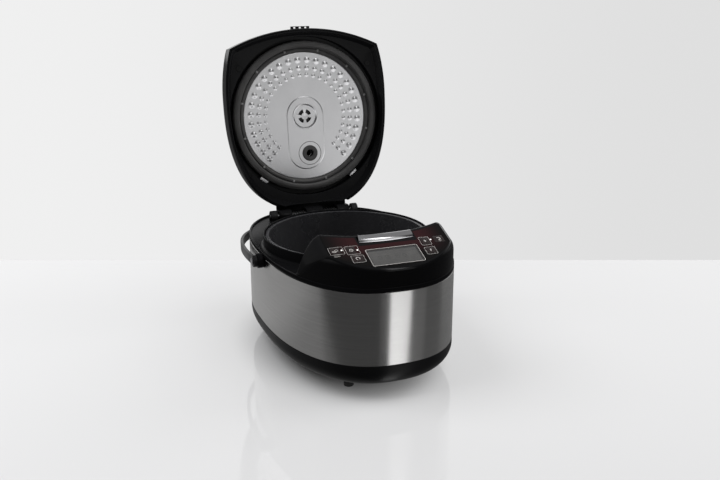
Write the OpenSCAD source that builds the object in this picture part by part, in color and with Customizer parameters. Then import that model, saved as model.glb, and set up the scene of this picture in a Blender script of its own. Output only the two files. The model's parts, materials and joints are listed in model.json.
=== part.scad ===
// Multicooker with an open hinged lid, a lift-out bowl, a swinging carrying handle and a sloping
// control panel. Everything is drawn around the bowl's axis and then set back by bowl_y.

/* [Body] */
// Half the width of the body
body_half = 130; // [126:1:132]
// How far the body reaches forward of its widest section
body_fore = 219; // [217:1:221]
// How far the body reaches back from its widest section
body_aft = 178; // [176:1:184]
// How far the widest section lies behind the bowl's axis
body_mid = 12; // [10:1:14]
// Squareness of the plan outline, where 2 is an ellipse
squareness = 2.45; // [2.4:0.05:2.6]
// Lower edge of the steel band above the table
band_z = 51; // [50:1:54]
// Upper edge of the steel band
band_top = 151; // [150:0.5:151]
// Thickness of the steel band
band_wall = 1.2; // [0.8:0.1:1.2]

/* [Base] */
// Underside of the base above the table
base_z = 12; // [11:0.5:13]
// How far the base's underside is drawn in from the band
base_tuck = 41; // [38:1:44]
// Height above the table where the base starts to curve in
base_bend = 42; // [40:1:46]
// Radius of a foot
foot_r = 7; // [6:0.5:7.5]

/* [Bowl] */
// Inside radius of the bowl
bowl_r = 112.5; // [110:0.5:112.5]
// Wall of the bowl
bowl_wall = 2; // [1.5:0.1:2]
// Height of the bowl's inner floor above the table
bowl_floor = 40; // [40:1:44]
// Top of the bowl's flange
flange_z = 170; // [169.5:0.1:170]

/* [Lid] */
// Angle through which the lid stands open
lid_open = 96.8; // [90:0.2:97]
// Height of the hinge axis, which is also the plane of the shut lid's rim
hinge_z = 160; // [160:0.1:160.5]
// Distance of the hinge axis behind the bowl's axis
hinge_y = 152.4; // [152:0.1:153]
// Reach of the lid's front edge from the bowl's axis
lid_fore = 136; // [135.5:0.1:136]
// Radius of the dimpled inner lid
plate_r = 100; // [98:0.5:100]
// Recess of the inner lid above the lid's rim
plate_recess = 22; // [22:0.5:23]

/* [Control panel] */
// Slope of the control panel
panel_tilt = 20.5; // [20:0.1:21]
// Height of the panel's surface at the middle of the display
panel_z = 191.5; // [191:0.1:192]
// Distance of the middle of the display in front of the bowl's axis
panel_y = 181.8; // [181:0.1:182]
// Half the width of the display
display_half = 35; // [32:0.5:36]
// Half the height of the display, measured up the slope
display_rise = 16; // [14:0.5:16]
// Travel of a key
key_travel = 0.8; // [0.5:0.1:0.8]

/* [Handle] */
// Distance of the handle's pivot in front of the bowl's axis
bail_pivot_y = 10; // [8:1:12]
// Height of the handle's pivot
bail_pivot_z = 146; // [145:0.5:147]
// Reach of the handle behind its pivot
bail_reach = 221; // [218:1:224]
// Angle by which the resting handle hangs below level
bail_droop = 5; // [4:0.5:6]
// Height of the handle's strap
bail_h = 13; // [11:0.5:14]
// Thickness of the handle's strap
bail_t = 5; // [4:0.5:5]

/* [Hidden] */
$fn = 64;
bowl_y = -17;         // sets the whole part's box centre over the origin
plan_n = 80;          // corners of the body's plan outline
gap = 0.3;            // free space between pieces that move past each other
fit = 0.05;           // radial clearance of a running pin

base_wall = 2.5;
rim_top = 157.5;
deck_z = 153;
deck_t = 2;
deck_top = deck_z + deck_t;
collar_r = 121;
collar_top = 172;
collar_bore = 115.6;
liner_r = 116.5;
liner_wall = 1;
liner_floor = 27;
plate_top = bowl_floor - bowl_wall - gap;
post_front = [56, -126];
post_back = [48, 130];
post_r = 5;
foot_front = [50, -143];
foot_back = [56, 112];

lid_half = 130;
lid_wide_y = -34;
lid_front_c = 190;
lid_back_c = 182;
lid_back_n = 2.54;
lid_arc_r = 275.4;
lid_arc_y = lid_arc_r - lid_fore;
lid_corner = 32.05;   // bearing of the front corners from the middle of the widest section
lid_wall = 2.5;
lid_top = 228.3;
liner_z = hinge_z + 10;
liner_bore = 124.5;
plate_z = hinge_z + plate_recess;
outlet = [5, 59];
neck_half = 58;

panel_flat = 80;      // half the width of the panel's flat part, beyond which its shoulders fall
panel_end = 112;
panel_bottom = deck_top + 0.2;
panel_wall = 2.5;
panel_skin = 4.6;
overlay_t = 2;
housing_arc = lid_arc_r + 2;
button_half = 38;
button_r0 = 281;
button_r1 = 292;
latch_y = -145.2;
latch_z = 177;
catch_z = 182;
slot_half = 17;

// Keys on the panel: name, middle across, middle up the slope, width, height
KEYS = [
    ["menu", -75, 21.5, 12, 13], ["timer", -53.5, 19, 11, 15], ["minus", -50.5, 1.5, 15, 12],
    ["plus", 50, 21, 11, 15], ["start", 70, 22, 14, 13], ["cancel", 50.5, 1.5, 13, 12]
];
LIGHTS = [[-65.7, 22], [-45.3, 19], [58.8, 23]];

function sgn_pow(v, e) = sign(v) * pow(abs(v), e);

// Plan outline of the body, drawn in by inset all round
function body_point(a, inset) = let (e = 2 / squareness, c = sin(a) < 0 ? body_fore : body_aft)
    [(body_half - inset) * sgn_pow(cos(a), e), body_mid + (c - inset) * sgn_pow(sin(a), e)];
function body_outline(inset = 0) = [for (i = [0 : plan_n - 1]) body_point(360 * i / plan_n, inset)];
function body_front(x, inset = 0) = body_mid - (body_fore - inset)
    * pow(1 - pow(abs(x) / (body_half - inset), squareness), 1 / squareness);

// Plan outline of the shut lid: a superellipse cut off in front by a flat arc
function super_r(a, p, q, n) = pow(pow(abs(cos(a)) / p, n) + pow(abs(sin(a)) / q, n), -1 / n);
function arc_r(a, r) = let (c = lid_arc_y - lid_wide_y)
    c * sin(a) + sqrt(pow(r, 2) - pow(c * cos(a), 2));
function lid_r(a, inset) = sin(a) >= 0
    ? super_r(a, lid_half - inset, lid_back_c - inset, lid_back_n)
    : min(super_r(a, lid_half - inset, lid_front_c - inset, 2), arc_r(a, lid_arc_r - inset));
lid_angles = concat(
    [for (i = [0 : 35]) 5 * i],
    [for (i = [0 : 5]) 180 + lid_corner * i / 6],
    [for (i = [0 : 23]) 180 + lid_corner + (180 - 2 * lid_corner) * i / 24],
    [for (i = [0 : 5]) 360 - lid_corner * (1 - i / 6)]);
function lid_outline(inset = 0, grow = 1) = [for (a = lid_angles) let (r = lid_r(a, inset))
    [r * cos(a) * grow, (lid_wide_y + r * sin(a) - 6) * grow + 6]];
function to_circle(points, r) = [for (p = points) p * r / norm(p)];
function outside_of(points, r) = [for (p = points) p * max(1, r / norm(p))];
function at_z(points, z) = [for (p = points) [p[0], p[1], z]];

// Skin over rings of points, each running anticlockwise seen from above.
// A closed skin joins the last ring to the first; an open one gets a cap at each end.
module skin(rings, closed = false) {
    n = len(rings[0]);
    m = len(rings);
    last = closed ? m - 1 : m - 2;
    sides = [for (k = [0 : last], i = [0 : n - 1]) let (
        a = k * n + i, b = k * n + (i + 1) % n, c = ((k + 1) % m) * n + i, d = ((k + 1) % m) * n + (i + 1) % n)
        each [[a, c, d], [a, d, b]]];
    caps = closed ? [] : [[for (i = [0 : n - 1]) i], [for (i = [n - 1 : -1 : 0]) (m - 1) * n + i]];
    polyhedron([for (r = rings) each r], concat(sides, caps), convexity = 6);
}

// Square-section outline turned into a ring of even wall
module ring_2d(outer, inner) difference() {
    polygon(outer);
    polygon(inner);
}

module in_frame() translate([0, bowl_y, 0]) children();

// Turns a lid piece, drawn shut, back to where the open lid stands
module in_lid() in_frame() translate([0, hinge_y, hinge_z]) rotate([-lid_open, 0, 0])
    translate([0, -hinge_y, -hinge_z]) children();

// Panel axes: x across, y up the slope and z out of the surface, from the display's middle
module in_panel() in_frame() translate([0, -panel_y, panel_z]) rotate([panel_tilt, 0, 0]) children();

module both_sides() {
    children();
    mirror([1, 0, 0]) children();
}

module at_each(points) for (p = points) translate([p[0], p[1], 0]) children();

module along_x(half) rotate([0, 90, 0]) translate([0, 0, -half]) children();

// Coil of round wire rising along z from the origin
module coil(r, wire, turns, rise, steps = 14, sides = 6) {
    count = turns * steps;
    rings = [for (i = [0 : count]) let (a = 360 * i / steps)
        [for (k = [0 : sides - 1]) let (b = -360 * k / sides, q = r + wire / 2 * cos(b))
            [q * cos(a), q * sin(a), rise * i / count + wire / 2 * sin(b)]]];
    skin(rings);
}

module countersunk_screw(length, r = 2, head = 4) {
    cylinder(h = 1.2, r1 = head, r2 = r);
    translate([0, 0, 1.1]) cylinder(h = length - 1.1, r = r);
}

// ---- Body ----

// Rounded tray under the body; its spigot stands inside the steel band
base_curve = [for (a = [90 : -15 : 0]) [base_tuck * (1 - pow(cos(a), 1.09)),
    base_bend - (base_bend - base_z) * pow(sin(a), 1.09)]];
module base_tray() skin(concat(
    [for (p = base_curve) at_z(body_outline(p[0]), p[1])],
    [for (p = [[0, band_z - 0.3], [band_wall + gap, band_z - 0.3], [band_wall + gap, band_z + 6],
        [band_wall + 2.3, band_z + 6], [base_wall, base_bend]])
        at_z(body_outline(p[0]), p[1])],
    [for (i = [5 : -1 : 0]) at_z(body_outline(base_curve[i][0] + (i > 0 ? 2 : 0)),
        base_curve[i][1] + (i == 5 ? 1 : base_wall))]));

module base() in_frame() color([0.05, 0.05, 0.055]) difference() {
    base_tray();
    both_sides() at_each([post_front, post_back]) translate([0, 0, base_z - 1]) {
        cylinder(h = 8, r = 2.2);
        cylinder(h = 2.4, r = 4.4);
    }
    both_sides() at_each([foot_front, foot_back]) translate([0, 0, base_z - 1]) cylinder(h = 8, r = 2.5);
    for (a = [15 : 30 : 345]) rotate(a) translate([48, -1.5, base_z - 1]) cube([24, 3, 8]);
}

module foot() {
    rotate_extrude() polygon([[0, 0], [foot_r - 1, 0], [foot_r, 1], [foot_r, base_z], [2.4, base_z],
        [2.4, base_z + base_wall + 0.2], [3.3, base_z + base_wall + 0.6], [1.8, base_z + base_wall + 4],
        [0, base_z + base_wall + 4]]);
}
module feet() in_frame() color([0.09, 0.09, 0.09]) both_sides() at_each([foot_front, foot_back]) foot();

module base_screws() in_frame() color("silver") both_sides() at_each([post_front, post_back])
    translate([0, 0, base_z + 0.05]) countersunk_screw(14);

// Brushed steel sleeve, pierced for the handle's brackets and the power inlet
inlet_z = 76;
module outer_band() in_frame() color([0.72, 0.72, 0.73]) difference() {
    translate([0, 0, band_z]) linear_extrude(band_top - band_z)
        ring_2d(body_outline(), body_outline(band_wall));
    translate([0, -bail_pivot_y, bail_pivot_z]) along_x(140) cylinder(h = 280, r = 4.2);
    translate([-13.8, 180, inlet_z - 12.3]) cube([27.6, 20, 24.6]);
}

// Moulded deck with its rim, the round collar that the bowl hangs in, and four screw posts
module top_frame() in_frame() color([0.04, 0.04, 0.045]) difference() {
    union() {
        translate([0, 0, band_top + 0.2]) linear_extrude(rim_top - band_top - 0.2)
            ring_2d(body_outline(), body_outline(3));
        translate([0, 0, band_top - 6]) linear_extrude(6.4)
            ring_2d(body_outline(band_wall + gap), body_outline(3.5));
        translate([0, 0, deck_z]) linear_extrude(deck_t) difference() {
            polygon(body_outline(2));
            circle(118, $fn = 120);
        }
        rotate_extrude($fn = 120) polygon([[collar_bore, deck_z - 1], [collar_r, deck_z - 1],
            [collar_r + 1.5, deck_top], [collar_r, deck_top + 2], [collar_r, collar_top - 1.5],
            [collar_r - 1, collar_top - 0.3], [collar_r - 1.8, collar_top], [118.2, collar_top - 0.5],
            [118.2, flange_z - 1.8], [collar_bore, flange_z - 1.8]]);
        both_sides() at_each([post_front, post_back]) translate([0, 0, base_z + base_wall + 0.1])
            cylinder(h = deck_z - base_z - base_wall, r = post_r);
    }
    both_sides() at_each([post_front, post_back]) cylinder(h = 30, r = 2);
    translate([-73, hinge_y - 10, deck_z - 1]) cube([146, 20, 4]);
    both_sides() translate([77.5, hinge_y - 4, deck_z - 1]) cylinder(h = 2.4, r = 1.5);
    translate([0, -bail_pivot_y, bail_pivot_z]) along_x(140) cylinder(h = 280, r = 4.2);
}

// Pressed can that lines the well, with a cup for the thermal sensor in its floor
module well_liner() in_frame() color([0.62, 0.62, 0.63]) rotate_extrude($fn = 120) {
    q = liner_r - 12;
    polygon(concat(
        [[liner_r, deck_z - 1.2], [collar_r + 1, deck_z - 1.2], [collar_r + 1, deck_z - 2.2],
            [liner_r + liner_wall, deck_z - 2.2]],
        [for (a = [0 : -15 : -90]) [q + 13 * cos(a), liner_floor + 13 + 13 * sin(a)]],
        [[15, liner_floor], [15, 19.5], [5.6, 19.5], [5.6, 21], [14, 21], [14, liner_floor + 1]],
        [for (a = [-90 : 15 : 0]) [q + 12 * cos(a), liner_floor + 13 + 12 * sin(a)]]));
}

// Cast plate with its heater tube moulded in underneath
module heating_plate() in_frame() color([0.6, 0.6, 0.62]) rotate_extrude($fn = 96)
    polygon([[20, liner_floor + 5], [50, liner_floor + 5], [52, liner_floor + 1], [72, liner_floor + 1],
        [74, liner_floor + 5], [84, liner_floor + 5], [84, liner_floor + 1], [90, liner_floor + 1],
        [92, liner_floor + 3], [92, plate_top - 1], [91, plate_top], [21, plate_top], [20, plate_top - 1]]);

module thermal_sensor() in_frame() color([0.8, 0.8, 0.8]) rotate_extrude()
    polygon([[0, 17], [7, 17], [7, 18.3], [4.9, 18.3], [4.9, 32.6], [16, 32.6], [17, 33.4],
        [17, plate_top - 0.8], [16, plate_top], [0, plate_top]]);

module sensor_spring() in_frame() color("silver") translate([0, 0, 21.8]) coil(8, 1.2, 4, 9.6);

bowl_out = bowl_r + bowl_wall;
module bowl() in_frame() color([0.03, 0.03, 0.03]) rotate_extrude($fn = 144) {
    polygon(concat(
        [[0, bowl_floor - bowl_wall]],
        [for (a = [-90 : 10 : 0]) [bowl_out - 22 + 22 * cos(a), bowl_floor + 20 + 22 * sin(a)]],
        [[bowl_out, flange_z - 1.5], [117.2, flange_z - 1.5], [117.6, flange_z - 1.1],
            [117.6, flange_z - 0.4], [117, flange_z], [bowl_r + 1, flange_z], [bowl_r, flange_z - 1]],
        [for (a = [0 : -10 : -90]) [bowl_out - 22 + 20 * cos(a), bowl_floor + 20 + 20 * sin(a)]],
        [[0, bowl_floor]]));
}

// ---- Hinge ----

module hinge_bracket() in_frame() color([0.35, 0.35, 0.36]) difference() {
    union() {
        translate([-76, hinge_y - 13, 148]) cube([152, 24, 2]);
        both_sides() {
            translate([73.5, hinge_y - 12, 149.9]) cube([8, 16, deck_z - 149.9]);
            translate([62.5, hinge_y - 8, 149.9]) cube([9.5, 16, hinge_z - 149.9]);
            translate([62.5, hinge_y, hinge_z]) rotate([0, 90, 0]) cylinder(h = 9.5, r = 9);
        }
    }
    translate([0, hinge_y, hinge_z]) along_x(80) cylinder(h = 160, r = 3);
    both_sides() translate([77.5, hinge_y - 4, 147]) cylinder(h = 8, r = 1.5);
}

module hinge_pin() in_frame() color([0.75, 0.75, 0.75]) translate([0, hinge_y, hinge_z]) along_x(73.5)
    cylinder(h = 147, r = 3);

module hinge_springs() in_frame() color([0.5, 0.5, 0.5]) both_sides()
    translate([16.2, hinge_y, hinge_z]) rotate([0, 90, 0]) coil(5.4, 1.8, 5, 19.6);

module bracket_screws() in_frame() color("silver") both_sides() translate([77.5, hinge_y - 4, 145.9]) {
    cylinder(h = 2, r = 3.2);
    cylinder(h = 8.4, r = 1.5);
}

// ---- Control panel ----

// Height of the panel's surface, whose shoulders fall away to the deck on each side
function panel_height(x, y) = panel_z + (y + panel_y) * tan(panel_tilt)
    - 30 * pow(max(0, abs(x) - panel_flat) / 23, 2);
function panel_back(x) = lid_arc_y - sqrt(pow(housing_arc, 2) - pow(x, 2));

// Sections of the housing at x, outside and inside, from the back wall over the top to the front
function panel_section(x) = let (b = panel_back(x), f = body_front(x, 1.2), w = b - f, low = panel_bottom,
    back = min(1.5, 0.2 * w), front = min(4, 0.4 * w), lip = min(1.4, 0.15 * w))
    [for (p = [[b, low, 0], [b, panel_height(x, b) - 1.5, 3.8], [b - back, panel_height(x, b - back), 4.6],
        [f + front, panel_height(x, f + front), 4.5], [f + lip, panel_height(x, f + lip) - 1, 4.1],
        [f, panel_height(x, f) - 3.5, 3.5], [f, low, 0]]) [x, p[0], max(low + p[2], p[1])]];
function panel_core(x) = let (b = panel_back(x) - panel_wall, f = body_front(x, 1.2) + panel_wall + 1.2)
    [for (p = [[b, panel_bottom - 1], [b, panel_height(x, b) - panel_skin - 0.4],
        [b - 1, panel_height(x, b - 1) - panel_skin], [f + 3.5, panel_height(x, f + 3.5) - panel_skin],
        [f, panel_height(x, f) - 7], [f, panel_bottom - 1]]) [x, p[0], p[1]]];
panel_stops = [for (i = [-20 : 20]) sin(i * 4.5)];

module panel_prism(points, top, bottom) translate([0, 0, bottom]) linear_extrude(top - bottom)
    polygon(points);

// Outline of the glossy overlay in panel axes, notched behind for the release button
function slope_of(y) = (y + panel_y) / cos(panel_tilt);
function overlay_outline(inset = 0) = let (w = 84 - inset, n = button_half + 3 + inset) concat(
    [for (i = [-8 : 8]) let (x = w * i / 8) [x, slope_of(body_front(x)) + 5.5 + inset]],
    [for (i = [4 : -1 : 0]) let (x = n + (w - n) * i / 4) [x, slope_of(panel_back(x)) - 6 - inset]],
    [[n, 26 - inset], [-n, 26 - inset]],
    [for (i = [0 : 4]) let (x = n + (w - n) * i / 4) [-x, slope_of(panel_back(x)) - 6 - inset]]);

module panel_housing() color([0.05, 0.05, 0.055]) difference() {
    in_frame() skin([for (t = panel_stops) panel_section(t * panel_end)]);
    in_frame() skin([for (t = panel_stops) panel_core(t * (panel_end - 8))]);
    in_frame() translate([0, 0, deck_z]) linear_extrude(rim_top + gap - deck_z)
        ring_2d(body_outline(-1), body_outline(3 + gap));
    in_panel() panel_prism(overlay_outline(-0.15), 6, -overlay_t - 0.05);
    in_panel() panel_prism(overlay_outline(2), 6, -panel_skin - 2);
    in_frame() {
        button_sector(button_r0 - 0.6, button_r1 + 0.6, button_half + 0.6, 180, 220);
        translate([-slot_half, -143, catch_z - 5]) cube([2 * slot_half, 8, 40]);
    }
}

// Piece of a round wall that follows the lid's front edge
module button_sector(r0, r1, half, z0, z1) intersection() {
    translate([0, lid_arc_y, z0]) difference() {
        cylinder(h = z1 - z0, r = r1, $fn = 200);
        translate([0, 0, -1]) cylinder(h = z1 - z0 + 2, r = r0, $fn = 200);
    }
    translate([-half, -180, z0 - 1]) cube([2 * half, 60, z1 - z0 + 2]);
}

module key_hole(k, grow) translate([k[1], k[2]]) square([k[3] + 2 * grow, k[4] + 2 * grow], center = true);

module panel_overlay() in_panel() color([0.02, 0.02, 0.02]) translate([0, 0, -overlay_t])
    linear_extrude(overlay_t) difference() {
        polygon(overlay_outline());
        square([2 * display_half + 0.2, 2 * display_rise + 0.2], center = true);
        for (k = KEYS) key_hole(k, gap);
        for (p = LIGHTS) translate(p) circle(1.3, $fn = 24);
    }

// Moulded plate under the overlay that guides the keys' stems
module panel_chassis() in_panel() color([0.15, 0.15, 0.15]) translate([0, 0, -panel_skin - 2])
    linear_extrude(1.8) difference() {
        polygon(overlay_outline(3));
        square([67, 29], center = true);
        for (k = KEYS) translate([k[1], k[2]]) circle(2.3, $fn = 24);
        for (p = LIGHTS) translate(p) circle(1.3, $fn = 24);
    }

module display_window() in_panel() color([0.3, 0.33, 0.34]) translate([-display_half, -display_rise, -1.5])
    cube([2 * display_half, 2 * display_rise, 1.5]);

board_z = -13;
module display_module() in_panel() color([0.45, 0.48, 0.46]) translate([-33, -14, board_z + 1.6])
    cube([66, 28, -board_z - 1.6 - 1.7]);

module indicator_lights() in_panel() color([0.9, 0.9, 0.85]) at_each(LIGHTS)
    translate([0, 0, board_z + 1.6]) cylinder(h = -board_z - 1.6, r = 1.2, $fn = 24);

module control_board() in_panel() color([0.1, 0.3, 0.15]) translate([0, 0, board_z]) linear_extrude(1.6)
    difference() {
        polygon(overlay_outline(5.5));
        translate([-46, 14.5]) square([92, 30]);
    }

module tact_switches() in_panel() color([0.2, 0.2, 0.2]) for (k = KEYS) translate([k[1], k[2], board_z + 1.6]) {
    translate([-3, -3, 0]) cube([6, 6, 1.6]);
    translate([0, 0, 1.5]) cylinder(h = 0.8, r = 1.6, $fn = 24);
}

module key(k) in_panel() color([0.03, 0.03, 0.03]) translate([k[1], k[2], 0]) {
    translate([-k[3] / 2, -k[4] / 2, -overlay_t]) cube([k[3], k[4], overlay_t + 0.2]);
    translate([0, 0, board_z + 5]) cylinder(h = -board_z - 5 - overlay_t + 0.1, r = 2, $fn = 24);
}
module menu_key() key(KEYS[0]);
module timer_key() key(KEYS[1]);
module minus_key() key(KEYS[2]);
module plus_key() key(KEYS[3]);
module start_key() key(KEYS[4]);
module cancel_key() key(KEYS[5]);

// ---- Lid latch ----

// Chromed bar that follows the lid's front edge, with the stem that presses the hook's toe
module release_button() in_frame() color([0.85, 0.85, 0.87]) {
    swing = asin(button_half / button_r1);
    translate([0, lid_arc_y, 0]) rotate(-90 - swing) rotate_extrude(angle = 2 * swing, $fn = 360)
        polygon([[button_r0, 197], [button_r1, 195], [button_r1, 203.5], [button_r1 - 1.2, 206.5],
            [button_r1 - 4, 208.8], [button_r0 + 4, 210.6], [button_r0 + 1.2, 209.8], [button_r0, 207.6]]);
    translate([-6, -155, 193]) cube([12, 8, 3.5]);
    translate([-3.5, -155, latch_z - 0.1]) cube([7, 2.4, 17]);
}

module button_spring() in_frame() color("silver") translate([0, -153.8, 179.2]) coil(4.8, 1, 4, 12.6);

// Steel frame that stands on the deck and carries the hook's pin and the button's spring
module latch_frame() in_frame() color([0.6, 0.6, 0.62]) difference() {
    union() {
        translate([-36, -162, panel_bottom]) cube([72, 21, 1.6]);
        both_sides() translate([18.5, -160, panel_bottom]) cube([2, 19.4, 181 - panel_bottom]);
        translate([-20.5, -160, 176.6]) cube([41, 10.8, 2]);
    }
    translate([0, latch_y, latch_z]) along_x(30) cylinder(h = 60, r = 2 + fit);
    translate([-4, -155.5, 170]) cube([8, 3.4, 12]);
}

module latch_pin() in_frame() color("silver") translate([0, latch_y, latch_z]) along_x(22)
    cylinder(h = 44, r = 2);

module latch_hook() in_frame() color([0.55, 0.55, 0.57]) difference() {
    union() {
        translate([0, latch_y, latch_z]) along_x(13) cylinder(h = 26, r = 3.4);
        translate([-13, latch_y - 0.5, latch_z]) cube([26, 2.7, 13]);
        translate([-13, latch_y - 0.5, catch_z + 4.4]) cube([26, 7.5, 3.6]);
        translate([-7, latch_y - 10.2, latch_z - 4.2]) cube([14, 10.2, 3.2]);
    }
    translate([0, latch_y, latch_z]) along_x(30) cylinder(h = 60, r = 2 + fit);
}

// ---- Power ----

board_y = -148;
module power_board() in_frame() translate([0, board_y, 0]) {
    color([0.1, 0.3, 0.15]) translate([-58, 0, 40]) cube([116, 1.6, 88]);
    color([0.2, 0.2, 0.2]) both_sides() translate([34, 1.5, base_z + base_wall + 0.3]) cube([8, 4, 34]);
    color([0.75, 0.6, 0.2]) translate([-44, 1.5, 52]) cube([40, 23, 34]);
    color([0.1, 0.2, 0.5]) translate([8, 1.5, 56]) cube([18, 15, 15]);
    color([0.1, 0.2, 0.5]) translate([30, 1.5, 56]) cube([18, 15, 15]);
    color([0.2, 0.2, 0.3]) translate([20, 1.5, 96]) rotate([-90, 0, 0]) cylinder(h = 20, r = 8);
    color([0.7, 0.7, 0.7]) for (x = [-44 : 6 : -14]) translate([x, 1.5, 96]) cube([2, 14, 26]);
}

module contact_blades() for (p = [[-7, -2], [0, 3], [7, -2]]) translate([p[0] - 1, 168, p[1] - 2])
    cube([2, 17, 4]);

module power_inlet() in_frame() color([0.06, 0.06, 0.06]) translate([0, 0, inlet_z]) difference() {
    union() {
        translate([-16, body_mid + body_aft + 0.1, -15]) cube([32, 2, 30]);
        translate([-13.5, 172, -12]) cube([27, 20, 24]);
    }
    translate([-11.5, 175, -8.5]) cube([23, 30, 17]);
    contact_blades();
}

module inlet_pins() in_frame() color([0.8, 0.7, 0.4]) translate([0, 0, inlet_z]) contact_blades();

// ---- Carrying handle ----

module handle_brackets() in_frame() color([0.06, 0.06, 0.06]) both_sides()
    translate([0, -bail_pivot_y, bail_pivot_z]) difference() {
        union() {
            translate([130, 0, 0]) rotate([0, 90, 0]) cylinder(h = 8, r = 10.5);
            translate([122, 0, 0]) rotate([0, 90, 0]) cylinder(h = 9, r = 4.1);
        }
        translate([120, 0, 0]) rotate([0, 90, 0]) cylinder(h = 20, r = 3);
    }

module handle_pins() in_frame() color([0.5, 0.5, 0.5]) both_sides()
    translate([0, -bail_pivot_y, bail_pivot_z]) rotate([0, 90, 0]) {
        translate([0, 0, 123]) cylinder(h = 22.3, r = 3);
        translate([0, 0, 144.4]) cylinder(h = 1.6, r = 5);
    }

// Strap swept round the back of the body, with an eye at each end
bail_half = 141.2;
bail_n = 2.6;
function bail_point(t) = [bail_half * sgn_pow(cos(t), 2 / bail_n), bail_reach * pow(sin(t), 2 / bail_n)];
function bail_ring(t) = let (
    d = 0.5, p = bail_point(t), q = bail_point(min(t + d, 180)) - bail_point(max(t - d, 0)),
    n = [q[1], -q[0]] / norm(q), w = bail_t / 2, h = bail_h / 2)
    [for (c = [[1.5 - w, -h], [-w, 2 - h], [-w, h - 2], [1.5 - w, h], [w - 1.5, h], [w, h - 2], [w, 2 - h],
        [w - 1.5, -h]]) [p[0] + n[0] * c[0], p[1] + n[1] * c[0], c[1]]];
module bail_handle() in_frame() color([0.1, 0.1, 0.1])
    translate([0, -bail_pivot_y, bail_pivot_z]) rotate([-bail_droop, 0, 0]) difference() {
        union() {
            skin([for (i = [0 : 52]) bail_ring(3 + 174 * i / 52)]);
            both_sides() {
                translate([bail_half - 2.8, 0, 0]) rotate([0, 90, 0]) cylinder(h = 5.6, r = 8.5);
                translate([bail_half - 2.4, 0, -bail_h / 2]) cube([4.8, 24, bail_h]);
            }
        }
        along_x(160) cylinder(h = 320, r = 3 + fit);
    }

// ---- Lid, drawn shut ----

lid_outside = [[0, 1, hinge_z], [0, 1, 184], [2, 1, 194], [6.5, 1, 203], [15, 1, 210.5], [15, 0.85, 218],
    [15, 0.6, 224], [15, 0.3, 227.6], [15, 0.03, lid_top]];
lid_inside = [[17.5, 0.03, lid_top - 2.5], [17.5, 0.6, 221.2], [17.5, 0.85, 215.2], [17, 1, 207.5],
    [9, 1, 201], [4.6, 1, 193], [lid_wall, 1, 184], [lid_wall, 1, hinge_z]];
module lid_shell() in_lid() color([0.04, 0.04, 0.045]) difference() {
    union() {
        skin([for (p = concat(lid_inside, lid_outside)) at_z(lid_outline(p[0], p[1]), p[2])]);
        at_each(lid_posts) translate([0, 0, liner_z + 2.2]) cylinder(h = 36, r = 4);
    }
    at_each(lid_posts) translate([0, 0, liner_z]) cylinder(h = 14, r = 1.8);
    translate([-neck_half - 1, 130, hinge_z - 1]) cube([2 * neck_half + 2, 28, 17]);
    translate([outlet[0], outlet[1], 200]) cylinder(h = 40, r = 24.2);
    translate([-15.1, -140, catch_z - 0.1]) cube([30.2, 12, 4.2]);
}
lid_posts = [[-105, -79], [105, -79], [-100, 86], [100, 86]];

// Underside moulding: bevelled rim land, flat field and the round well for the inner lid
module lid_liner() in_lid() color([0.06, 0.06, 0.065]) {
    field = outside_of(lid_outline(10), liner_bore + 0.3);
    difference() {
        skin([
            at_z(lid_outline(lid_wall + 0.3), hinge_z + 0.4),
            at_z(lid_outline(lid_wall + 2.3), hinge_z + 0.4),
            at_z(field, liner_z),
            at_z(to_circle(field, liner_bore), liner_z),
            at_z(to_circle(field, liner_bore), plate_z + 2),
            at_z(to_circle(field, 96), plate_z + 2),
            at_z(to_circle(field, 96), plate_z + 3.8),
            at_z(to_circle(field, liner_bore + 1.1), plate_z + 3.8),
            at_z(to_circle(field, liner_bore + 1.1), liner_z + 2),
            at_z(outside_of(lid_outline(8.6), liner_bore + 1.4), liner_z + 2)
        ], closed = true);
        at_each(lid_posts) translate([0, 0, liner_z - 1]) {
            cylinder(h = 6, r = 2.2);
            cylinder(h = 1.9, r = 4.3);
        }
        translate([-neck_half - 1, 138, hinge_z - 1]) cube([2 * neck_half + 2, 20, 14]);
    }
}

// Knuckles that turn on the hinge pin, on a tongue laid over the liner inside the shell
module lid_hinge() in_lid() color([0.08, 0.08, 0.085]) difference() {
    union() {
        translate([-neck_half, 128, liner_z + 2.2]) cube([2 * neck_half, 24.4, 3.4]);
        for (x = [-neck_half, -14, 38]) translate([x, hinge_y, hinge_z]) {
            w = x == -14 ? 28 : neck_half - 38;
            rotate([0, 90, 0]) cylinder(h = w, r = 8.5);
            translate([0, -8.4, 0]) cube([w, 8.4, 15]);
        }
    }
    translate([0, hinge_y, hinge_z]) along_x(80) cylinder(h = 160, r = 3 + fit);
}

module lid_catch() in_lid() color([0.75, 0.75, 0.76]) {
    translate([-18, -131.8, catch_z - 3]) cube([36, 1.6, 10]);
    difference() {
        translate([-15, -140, catch_z]) cube([30, 9, 4]);
        for (x = [-9, 0, 9]) translate([x - 2, -139.2, catch_z - 1]) cube([4, 2.6, 6]);
    }
}

module lid_screws() in_lid() color("silver") at_each(lid_posts) translate([0, 0, liner_z - 0.9])
    countersunk_screw(12, 1.8, 4);

module heat_shield() in_lid() color([0.75, 0.75, 0.76]) translate([0, 0, plate_z + 4]) difference() {
    cylinder(h = 0.8, r = 104, $fn = 96);
    translate([outlet[0], outlet[1], -1]) cylinder(h = 3, r = 13);
}

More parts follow.
